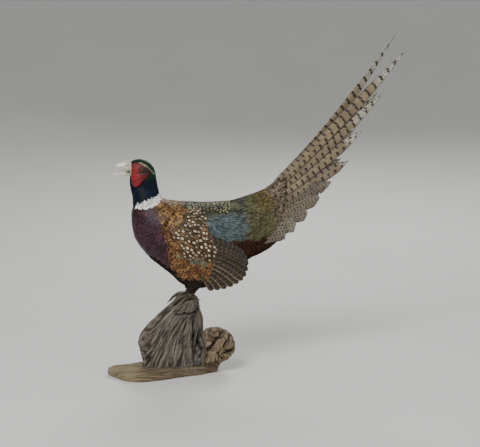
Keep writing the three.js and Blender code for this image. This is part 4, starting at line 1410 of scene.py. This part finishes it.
# The slit of a nostril in side view: its middle, its half length and height, and its slope.
NOSTRIL = {"x": -84.2, "z": 444.1, "half_x": 4.2, "half_z": 0.9, "slope": 0.35}
TONGUE = [
    [-72, 434, 428.6, 4.6], [-86, 435.4, 430.4, 4.6], [-96, 437.2, 433.2, 3.6], [-104, 437.6, 435, 2.2],
    [-108.5, 437.4, 436, 0.7],
]
# Corner of the mouth, from the upper bill's edge round to the lower one's: [x, y, z, radius].
GAPE = [
    [-89, 6.9, 438.4, 0.4], [-83, 8.0, 436.2, 0.7], [-78.2, 8.7, 434.6, 1.0], [-76.4, 8.9, 432, 1.15],
    [-78.4, 8.4, 429, 1.0], [-84, 7.6, 428.4, 0.7], [-90, 6.6, 429.8, 0.4],
]
FACE = {"around": 96, "rings": 16, "rise": 1.9, "inner": 2.2, "gap": 0.6, "least_rise": 0.2}
# Creases of the face in side view: the height of each at an x, its slope, half width and depth.
CREASE = {
    "x": -55, "z": 429.5, "slope": 0.1, "half": 1.1, "deep": 1.3, "from_x": (-76, -66), "to_x": (-41, -48),
}
FOLD = {
    "x": -70, "z": 413, "slope": 0.35, "half": 1.3, "deep": 0.8, "from_x": (-80, -74), "to_x": (-52, -60),
}
# The dark skin round the eye in side view: its middle, how much longer than high, its fading edge.
EYE_SHADE = {"x": -52.5, "z": 434.5, "longer": 1.45, "outer": 9.5, "inner": 5.5}
BEAD = {"radius": 0.42, "spacing": 1.15, "most": 2.0e6, "facing": 0.2, "size": (0.6, 1.15)}


def bill_rings(rows, hollow, keel):
    """Rings of half a bill: domed on one side, with sharp cutting edges and a hollow on the other.

    `keel` is 1 for an upper half, whose dome faces up, and -1 for a lower one."""
    rings = []
    angle = np.linspace(0, math.pi, BILL["dome"])
    inside = np.linspace(-1, 1, BILL["roof"] + 2)[1:-1]
    for x, top, bottom, half in through(rows, steps(BILL["rings"])):
        ridge, edge = (top, bottom) if keel > 0 else (bottom, top)
        dome_z = edge + (ridge - edge) * np.sin(angle) ** 0.8
        roof_z = edge + hollow * (ridge - edge) * (1 - inside ** 2)
        y = np.concatenate([half * np.cos(angle), half * inside])
        rings.append(points_of(x, y, np.concatenate([dome_z, roof_z])))
    return np.array(rings)


def tongue_rings():
    """Rings of the tongue, with a groove along its top."""
    angle = angles(20)
    groove = 1 - 0.35 * bell(np.cos(angle), 0.3) * (np.sin(angle) > 0)
    rings = []
    for x, top, bottom, half in through(TONGUE, steps(26)):
        z = (top + bottom) / 2 + (top - bottom) / 2 * np.sin(angle) * groove
        rings.append(points_of(x, half * np.cos(angle), z))
    return rings


def bill_material():
    """Ivory horn, duller and greener at the root, with growth lines, dark nostrils and a dark lining whose
    darkness is partly painted shade inside the mouth.
    """
    finish = Finish("bill_horn")
    x, _, z = finish.place.split()
    lines = finish.noise(1.0, 2.0, at=finish.place.vector("MULTIPLY", (160.0, 900.0, 900.0)))
    along = x - NOSTRIL["x"] * MM
    above = z - NOSTRIL["z"] * MM - along * NOSTRIL["slope"]
    nostril = far(along / (NOSTRIL["half_x"] * MM), above / (NOSTRIL["half_z"] * MM)).rise(1.15, 0.8)
    # The lining inside the bill, dark behind the tip: its own brownish colour and painted shade inside the
    # mouth.
    lining = finish.attribute("lining").rise(0.3, 0.9) * x.rise(-0.106, -0.096)
    horn = finish.layers(
        finish.mix(finish.noise(220.0, 4.0), 0xCBC7B4, 0xEAE7DA),
        (x.rise(-0.098, -0.074, 0.0, 0.75), 0x8F8A6C),
        (lines.rise(0.58, 0.72, 0.0, 0.35), 0x7C775C),
        (nostril, 0x1B130E),
        (lining, 0x3A2219))
    surface = {"Roughness": 0.38, "Coat Weight": 0.25, "Subsurface Weight": 0.06,
               "Subsurface Radius": (0.002, 0.0015, 0.001)}
    return finish.done(horn, surface, lines - nostril * 3.0, 0.15, 0.6)


def tongue_material():
    """Dried tongue, browner towards the throat."""
    finish = Finish("dry_tongue")
    grain = finish.noise(600.0, 4.0)
    tone = finish.mix(grain, 0xB9A684, 0xDACBA8)
    tone = finish.mix(finish.place.split()[0].rise(-0.086, -0.076), tone, 0x8A5F48)
    return finish.done(tone, {"Roughness": 0.5}, grain, 0.2, 0.5)


def eye_material():
    """A glass eye: black pupil, amber-brown iris with rays, dark rim, clear coat over all."""
    finish = Finish("glass_eye")
    x, _, z = finish.place.split()
    dx, dz = x - EYE["x"] * MM, z - EYE["z"] * MM
    off, iris_edge, pupil_edge = far(dx, dz), EYE["iris"] * MM, EYE["pupil"] * MM
    round_eye = finish.out("ShaderNodeCombineXYZ", {0: dx.op("ARCTAN2", dz) * 4.0, 1: off * 150.0})
    eye = finish.layers(
        finish.mix(finish.noise(3.0, 3.0, at=round_eye), 0x3A1B0A, 0x7E4716),
        (off.rise(0.75 * iris_edge, iris_edge), 0x120804),
        (off.rise(pupil_edge + 0.1 * MM, pupil_edge - 0.1 * MM), 0x040303))
    surface = {"Roughness": 0.06, "Specular IOR Level": 0.25, "Coat Weight": 0.4, "Coat Roughness": 0.02}
    return finish.done(eye, surface)


def face_material():
    """Bright red bare skin, darker round the eye and towards the rear, with painted shade in its folds and
    along its top, a painted highlight towards the front, and a satin gloss.
    """
    finish = Finish("bare_face")
    grain = finish.noise(1500.0, 3.0)
    x, _, z = finish.place.split()
    off_eye = far((x - EYE_SHADE["x"] * MM) / EYE_SHADE["longer"], z - EYE_SHADE["z"] * MM)
    off_eye = off_eye + finish.stray(420.0, 3.0, 0.006)
    red = finish.layers(
        finish.mix(finish.noise(190.0, 4.0).rise(0.3, 0.7), 0x430307, 0x770A13),
        (grain.rise(0.55, 0.7, 0.0, 0.5), 0x931A1B),
        # A painted highlight towards the front, then darker towards the rear.
        (x.rise(-0.056, -0.07, 0.0, 0.55), 0x9C1620),
        (x.rise(-0.052, -0.04, 0.0, 0.6), 0x33070A),
        (off_eye.rise(EYE_SHADE["outer"] * MM, EYE_SHADE["inner"] * MM, 0.0, 0.85), 0x1C0706),
        # Painted shade along the top.
        (z.rise(0.436, 0.448, 0.0, 0.5), 0x360709),
        # Painted shade in the creases and folds and at the inner edge by the eye; on the eyelids the same
        # mark makes them evenly darker.
        (finish.attribute("deep"), 0x2E0608))
    surface = {"Roughness": 0.5, "Specular IOR Level": 0.4, "Subsurface Weight": 0.1,
               "Subsurface Radius": (0.003, 0.0008, 0.0005)}
    return finish.done(red, surface, grain, 0.3, 0.7)


def loop_through(rows, count):
    """Evenly numbered points round a smooth closed line."""
    return through(np.vstack([rows] * 3 + [rows[:1]]), (1 + np.arange(count) / count) / 3)


def torus_faces(around, across):
    """Quads of a grid that closes on itself both ways."""
    number = np.arange(around * across).reshape(around, across)
    ahead, beside = np.roll(number, -1, axis=0), np.roll(number, -1, axis=1)
    return points_of(number, ahead, np.roll(ahead, -1, axis=1), beside).reshape(-1, 4).tolist()


def face_patch(side, surface):
    """The bare red skin of one cheek, as a closed ring-shaped pad round the eye."""
    outline = loop_through(WATTLE_OUTLINE, FACE["around"])
    eye = np.array([EYE["x"], EYE["z"]])
    inner = eye + unit(outline - eye) * (LID["half_x"] - FACE["gap"])
    share = np.concatenate([steps(FACE["rings"]), np.linspace(1, 0, FACE["rings"] // 2)[1:-1]])
    over = np.arange(len(share)) < FACE["rings"]
    flat = inner[:, None] + (outline - inner)[:, None] * share[None, :, None]
    x, z = flat[..., 0], flat[..., 1]
    y = np.empty(x.shape)
    for index in np.ndindex(x.shape):
        hit = surface.ray_cast(Vector((x[index], side * 60, z[index])), Vector((0, -side, 0)))[0]
        y[index] = abs(hit.y) if hit else 8.0
    crease, fold = (bell(z - (line["z"] + line["slope"] * (x - line["x"])), line["half"])
                    * smooth(x, *line["from_x"]) * smooth(x, *line["to_x"]) for line in (CREASE, FOLD))
    plump = (np.sqrt(np.clip(1 - share ** 6, 0, 1)) * np.where(share < 0.12, 0.75 + 2 * share, 1))[None, :]
    lobe = 0.9 * np.exp(-(((x + 69) / 8) ** 2 + ((z - 410) / 9) ** 2))
    rough = wobble(points_of(x, y, z).reshape(-1, 3), 3.2, 8).reshape(x.shape)
    rise = COAT_DEPTH[0] + plump * (FACE["rise"] + lobe + 0.22 * rough)
    rise = rise - CREASE["deep"] * crease - FOLD["deep"] * fold
    y = y + np.where(over[None, :], np.maximum(rise, FACE["least_rise"]), -FACE["inner"])
    mesh = mesh_from("face", points_of(x, side * y, z).reshape(-1, 3), torus_faces(*x.shape))
    # The face's dark mark: painted shade in its creases, its folds and its inner edge by the eye.
    store(mesh, "deep", np.clip(0.9 * crease + 0.7 * fold + (share < 0.08)[None, :] * 0.5, 0, 1).ravel())
    return mesh


def bead_group():
    """Sets small round beads over a surface, half sunk, as on a cock's bare face."""
    tree, given = new_group("Beads", {"Radius": "Float", "Spacing": "Float", "Outward": "Float",
                                      "Seed": "Int", "Material": "Material"})
    facing = tree.out("GeometryNodeInputNormal").split()[1] * given["Outward"]
    outer = tree.node("FunctionNodeCompare", {0: facing, 1: BEAD["facing"]}, operation="GREATER_THAN")
    spots = tree.node("GeometryNodeDistributePointsOnFaces", {
        "Mesh": given["Geometry"], "Distance Min": given["Spacing"], "Seed": given["Seed"],
        "Selection": outer, "Density Max": BEAD["most"]}, distribute_method="POISSON")
    bead = tree.node("GeometryNodeMeshUVSphere", {"Segments": 8, "Rings": 5, "Radius": given["Radius"]})
    least, most = BEAD["size"]
    size = tree.out("FunctionNodeRandomValue", {"Seed": given["Seed"], 2: least, 3: most}, 1,
                    data_type="FLOAT")
    beads = tree.node("GeometryNodeInstanceOnPoints", {"Points": spots, "Instance": bead, "Scale": size})
    both = tree.node("GeometryNodeJoinGeometry", {0: given["Geometry"]})
    tree.feed(both.inputs[0], tree.node("GeometryNodeRealizeInstances", {0: beads}))
    return end_group(tree, given, both)


def lid_rings(side):
    """The eyelids: a slim rim that lies on the eyeball round its opening, heavier above."""
    angle = angles(LID["around"])
    dx, dz = LID["half_x"] * np.cos(angle), LID["half_z"] * np.sin(angle) - 0.2
    dz = dz - 0.5 * np.maximum(np.sin(angle), 0) ** 2
    out = unit(points_of(dx, np.sqrt(EYE["radius"] ** 2 - dx ** 2 - dz ** 2), dz))
    centre = out * (EYE["radius"] + LID["over"])
    ahead = unit(np.roll(centre, -1, axis=0) - np.roll(centre, 1, axis=0))
    beside = np.cross(ahead, out)
    turn = angles(LID["across"])[None, :, None]
    thick = LID["thickness"] * (1 + 0.25 * np.sin(angle))[:, None, None]
    section = np.cos(turn) * out[:, None] * 0.8 + np.sin(turn) * beside[:, None] * 1.15
    return (centre[:, None] + thick * section + [EYE["x"], EYE["y"], EYE["z"]]) * [1, side, 1]


def eyeball(side):
    """The mesh of one glass eye."""
    ball = bmesh.new()
    bmesh.ops.create_icosphere(ball, subdivisions=5, radius=EYE["radius"] * MM)
    bmesh.ops.translate(ball, verts=ball.verts, vec=Vector((EYE["x"], side * EYE["y"], EYE["z"])) * MM)
    mesh = bpy.data.meshes.new("eye")
    ball.to_mesh(mesh)
    ball.free()
    return mesh


def make_head(surface):
    """Bill, tongue, and for each side the bare face, eyelids, eye and corner of the mouth."""
    horn = bill_material()
    for label, rows, hollow, keel in (("upper", UPPER_BILL, BILL["upper_hollow"], 1),
                                      ("lower", LOWER_BILL, BILL["lower_hollow"], -1)):
        half = tube_mesh(label, bill_rings(rows, hollow, keel))
        # The inner points of each half, its lining, which is painted darker inside the mouth, partly as
        # painted shade.
        lining = np.arange(BILL["dome"] + BILL["roof"]) >= BILL["dome"]
        store(half, "lining", np.tile(lining, BILL["rings"]).astype(float))
        finished(add_object(half, f"{label}_bill_horn"), "bill", horn, f"{label}_bill")
    tongue = add_object(tube_mesh("tongue", tongue_rings()), "tongue_dry")
    finished(tongue, "tongue", tongue_material(), "tongue")
    red, glass, beads = face_material(), eye_material(), bead_group()
    for side, label in SIDE_NAMES.items():
        patch = add_object(face_patch(side, surface), f"face_{label}")
        values = {"Radius": BEAD["radius"] * MM, "Spacing": BEAD["spacing"] * MM, "Outward": float(side),
                  "Seed": SEED + side, "Material": red}
        finished(grown(patch, f"bare_face_{label}", beads, values), "wattle", red, f"wattle_{label}")
        lids = mesh_from("lids", lid_rings(side).reshape(-1, 3), torus_faces(LID["around"], LID["across"]))
        # The lids take the face's dark mark evenly, which makes them darker all over.
        store(lids, "deep", np.full(len(lids.vertices), 0.72))
        finished(add_object(lids, f"eyelids_{label}"), "wattle", red)
        finished(add_object(eyeball(side), f"glass_eye_{label}"), "eye", glass, f"eye_{label}")
        gape = tube_mesh("gape", rod_along(GAPE, side, 40, 14))
        finished(add_object(gape, f"gape_{label}"), "bill", horn)


# ---- Legs and feet --------------------------------------------------------------------------------

# Rods of one leg and foot: [x, y, z, radius] or, for a toe, [x, y, z].
TARSUS = [
    (52, 21.4, 196, 4.7), (49, 20.5, 190, 4.4), (43.5, 18.7, 180, 4.1),
    (40, 17.4, 172, 4.6), (38, 17, 168, 4.6),
]
SPUR = [(41, 17.8, 175, 2.6), (47, 15.9, 175.6, 1.9), (51, 14.6, 176.4, 1.1), (54, 13.8, 177.8, 0.2)]
TOES = {
    "middle": [(40, 17, 169), (29, 18, 171), (20, 19, 169.5), (10, 19.5, 162), (3.5, 19.5, 155)],
    "inner": [(40, 16, 169), (31, 10, 170.5), (22, 6.5, 168.5), (14.5, 5.2, 162)],
    "outer": [(40, 18, 169), (32, 26, 169.5), (25, 31, 167), (19, 33.6, 161.2)],
    "hind": [(38, 17, 169), (50, 16.5, 168), (57, 16, 163.5)],
}
TOE = {"base": 4.1, "tip": 2.1, "pads": 3, "pad_rise": 0.14, "claw": 11, "claw_radius": 1.7}
SCUTE = {"length": 2.7, "rise": 0.09, "faces": (-0.75, 0, 0.65)}


def rod_along(rows, side, count, sides):
    """Rings of a smooth rod through [x, y, z, radius] rows, on one side of the bird."""
    rows = through(rows, steps(count))
    return rod_rings(rows[:, :3] * [1, side, 1], rows[:, 3], sides)


def scaled_rod(rows, count, sides, pads=0):
    """A rod with ring-like scales on its front or upper side, and pads below where asked."""
    rows = through(rows, steps(count))
    distance = lengths_along(rows[:, :3])
    step = (distance / SCUTE["length"]) % 1
    rings = rod_rings(rows[:, :3], rows[:, 3], sides)
    out = (rings - rows[:, None, :3]) / rows[:, None, 3:]
    along = unit(np.gradient(rows[:, :3], axis=0))
    upper = np.array(SCUTE["faces"]) - along * (along @ SCUTE["faces"])[:, None]
    facing = np.sum(out * unit(upper)[:, None], axis=2)
    scute = SCUTE["rise"] * (1 - step)[:, None] * smooth(facing, -0.1, 0.5)
    pad = TOE["pad_rise"] * np.abs(np.sin(np.linspace(0, math.pi * pads, count)))[:, None] ** 2
    swell = 1 + scute + pad * smooth(-facing, 0.1, 0.8)
    mesh = tube_mesh("rod", rows[:, None, :3] + out * rows[:, None, 3:] * swell[..., None])
    store(mesh, "along", np.repeat(distance / SCUTE["length"], sides))
    store(mesh, "facing", facing.ravel())
    return mesh


def claw_mesh(start, way, length, radius):
    """A curved claw that bends down and ends in a point."""
    t = steps(14)[:, None]
    points = start + unit(way) * length * t + np.array([0, 0, -0.28 * length]) * t ** 2
    return tube_mesh("claw", rod_rings(points, radius * (1 - t[:, 0] ** 1.6) + 0.08, 12))


def scale_material():
    """Grey-brown scaled skin with dark seams between the scales."""
    finish = Finish("leg_scales_skin")
    along, facing = finish.attributes("along", "facing")
    cells = finish.out("ShaderNodeTexVoronoi", {"Vector": finish.place, "Scale": 750.0},
                       feature="DISTANCE_TO_EDGE")
    seams = bar_mask(along, 0.16) * facing.rise(0.0, 0.4)
    lines = seams | cells.rise(0.1, 0.02) * facing.rise(0.2, -0.2)
    skin = finish.mix(finish.noise(160.0, 4.0), 0x3A3228, 0x5E5342)
    return finish.done(finish.mix(lines * 0.8, skin, 0x1E1812), {"Roughness": 0.45}, 1.0 - lines, 0.3, 0.6)


def claw_material():
    """Brown horn with paler streaks."""
    finish = Finish("claw_horn")
    lines = finish.noise(700.0, 4.0)
    horn = finish.mix(lines, 0x40372C, 0x887C68)
    return finish.done(horn, {"Roughness": 0.28, "Coat Weight": 0.3}, lines, 0.15, 0.5)


def make_legs():
    """Shanks with their spurs, toes and claws."""
    skin, horn = scale_material(), claw_material()
    for side, label in SIDE_NAMES.items():
        flip = np.array([1, side, 1])
        shank = scaled_rod([(x, side * y, z, r) for x, y, z, r in TARSUS], 60, 20)
        finished(add_object(shank, f"shank_{label}"), "leg_scales", skin, f"leg_{label}")
        toes, claws = [], [tube_mesh("spur", rod_along(SPUR, side, 18, 12))]
        for path in TOES.values():
            count = len(path)
            radii = np.linspace(TOE["base"], TOE["tip"], count)
            rows = [(x, side * y, z, r) for (x, y, z), r in zip(path, radii)]
            toes.append(scaled_rod(rows, 14 * count, 18, TOE["pads"]))
            tip, before = np.array(path[-1]) * flip, np.array(path[-2]) * flip
            way = unit(tip - before)
            claws.append(claw_mesh(tip - way * 2.5, way + [0, 0, 0.25], TOE["claw"], TOE["claw_radius"]))
        finished(joined(toes, f"toes_{label}"), "leg_scales", skin, f"foot_{label}")
        finished(joined(claws, f"claws_{label}"), "leg_scales", horn)


# ---- Driftwood ------------------------------------------------------------------------------------

# The grain fans out from an apex, turns round the knob's middle and runs along the board.
WOOD = {
    "voxel": 1.7, "apex": (46, 176), "fan": 75, "curl": 0.004, "knob": (104, 56), "board_top": 17,
    "foot": (1.0, 4.0), "top": (167, 160),
}
# Folds of the front face, darkened with painted shade: x and z along each, its depth and its half width.
FOLDS = [
    ([(8, 137), (22, 136), (38, 138), (50, 140)], 3.2, 2.0),
    ([(60, 162), (56, 146), (50, 130), (47, 110), (48, 84), (46, 60)], 4.2, 2.2),
    ([(61, 92), (58, 72), (62, 52), (60, 40)], 4.5, 2.6),
    ([(106, 96), (102, 86), (94, 78), (86, 66), (76, 56)], 6.0, 3.0),
    ([(126, 84), (116, 72), (108, 62)], 3.0, 2.0),
    ([(132, 52), (118, 50), (108, 46)], 3.2, 2.0),
    ([(108, 32), (100, 42), (96, 50)], 3.0, 2.0),
]


def wood_grain(place):
    """Across and along the grain in millimetres, then how much a place is of the knob and the board."""
    x, y, z = place.T
    (apex_x, apex_z), (knob_x, knob_z) = WOOD["apex"], WOOD["knob"]
    down = np.hypot(x - apex_x, apex_z - z)
    fan = np.arctan2(x - apex_x, np.maximum(apex_z - z, 4)) * (1 + WOOD["curl"] * down)
    slab = points_of(fan * WOOD["fan"] + 40 * np.sign(y) + 0.3 * y, 0.5 * down)
    out, turn = np.hypot(x - knob_x, z - knob_z), np.arctan2(z - knob_z, x - knob_x)
    knob = points_of(turn * 15 + 5 * np.sin(out / 9) + 0.2 * y, out)
    board = points_of(y * 1.1 + 1.4 * z + 0.05 * x, 0.3 * x)
    in_knob = smooth(x, 62, 74) * smooth(z, 14, 22)
    in_board = smooth(z, WOOD["board_top"] + 3, WOOD["board_top"] - 2)
    grain = slab * (1 - in_knob[:, None]) + knob * in_knob[:, None]
    return grain * (1 - in_board[:, None]) + board * in_board[:, None], in_knob, in_board


def fold_depths(place, front):
    """How deep the front face's folds are at places, in millimetres and as a share from 0 to 1."""
    flat = place[:, [0, 2]] + 1.6 * points_of(wobble(place, 9, 24), wobble(place, 9, 25))
    depth, share = np.zeros(len(place)), np.zeros(len(place))
    for points, deep, half in FOLDS:
        line = through(points, steps(30))
        gap = np.min(np.linalg.norm(flat[:, None] - line[None], axis=2), axis=1)
        fold = bell(gap, half) * front
        depth = np.maximum(depth, deep * fold)
        share = np.maximum(share, fold)
    return depth, share


def make_driftwood():
    """The driftwood, its surface worn into furrows that run with the grain."""
    source = bpy.data.meshes.new("wood")
    merged = bmesh.new()
    merged.from_mesh(frame["nodes"]["driftwood"].data)
    bmesh.ops.remove_doubles(merged, verts=merged.verts, dist=0.01 * MM)
    merged.to_mesh(source)
    merged.free()
    wood = remeshed(add_object(source, "wood"), "driftwood_weathered", WOOD["voxel"], 4)
    place, normal = vertex_array(wood.data) / MM, vertex_array(wood.data, "normal")
    _, y, z = place.T
    grain, in_knob, in_board = wood_grain(place)
    across, along = grain.T
    flat = points_of(across, along * 0.2, 0.1 * y)
    broad, middle, fine = wobble(flat, 15, 21), wobble(flat, 6, 22), wobble(flat, 2.4, 23)
    furrow = bell(middle, 0.17)
    fold, folded = fold_depths(place, smooth(-normal[:, 1], 0.1, 0.6))
    depth = 1.7 * broad - 2.2 * furrow + 0.45 * fine - fold
    keep = smooth(z, *WOOD["foot"]) * smooth(z, *WOOD["top"])
    wood.data.vertices.foreach_set("co", ((place + normal * (depth * keep)[:, None]) * MM).ravel())
    wood.data.update()
    store(wood.data, "grain", points_of(across, along, 0.3 * y) / 10)
    # Painted shade in the furrows and folds.
    store(wood.data, "deep", np.clip(0.75 * furrow + folded, 0, 1) * keep)
    store(wood.data, "knob", in_knob)
    store(wood.data, "board", in_board)
    finished(wood, "driftwood", wood_material(), "driftwood")


def wood_material():
    """Weathered grey-brown wood: pale worn ridges, dark cracks along the grain, painted shade in its furrows
    and folds, warmer at the knob.
    """
    finish = Finish("driftwood_grain")
    deep, knob, board = finish.attributes("deep", "knob", "board")
    long_grain = finish.attribute("grain", "Vector").vector("MULTIPLY", (1.0, 0.12, 1.0))
    streak, hair = finish.noise(3.6, 7.0, 0.66, long_grain), finish.noise(24.0, 3.0, 0.6, long_grain)
    cloud, patch = finish.noise(26.0, 4.0), finish.noise(17.0, 2.0)
    light = streak.rise(0.36, 0.63)
    pink = finish.mix(patch.rise(0.42, 0.58), 0x84665C, 0x97865F)
    tan = finish.mix(streak.rise(0.4, 0.7) * 0.7, finish.mix(light, 0x43362A, 0x958668), pink)
    brown = finish.mix(light, 0x40362A, 0x8A7A5C)
    brown = finish.mix(finish.place.split()[0].rise(-0.04, -0.085, 0.0, 0.5), brown, 0xA39472)
    crack = hair.rise(0.4, 0.3, 0.0, 0.8)
    wood = finish.layers(
        finish.mix(light, 0x2B2826, 0x827B70),
        (knob, tan),
        (board, brown),
        (patch.rise(0.56, 0.68, 0.0, 0.35), 0x64493A),
        (cloud.rise(0.5, 0.75, 0.0, 0.4), 0x4C4D47),
        (hair.rise(0.54, 0.68, 0.0, 0.8), 0x9D9484),
        # Dark cracks, and painted shade in the furrows and folds, weaker on the board.
        (crack | deep * (board * -0.55 + 1.0), 0x120E0A))
    surface = {"Roughness": 0.82, "Specular IOR Level": 0.2}
    return finish.done(wood, surface, streak + hair * 0.6 - crack, 0.9, 0.8)


# ---- Assembly -------------------------------------------------------------------------------------

make_stage()
skin = make_skin()
surface = surface_of(skin.data)
grow_plumage(skin, surface, make_vanes())
dress_skin(skin)
make_long_feathers()
make_head(surface)
make_legs()
make_driftwood()
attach(skin, "root")
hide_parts("head", "neck", "collar", "trunk", "rump",
            "wing_left", "wing_right", "thigh_left", "thigh_right")
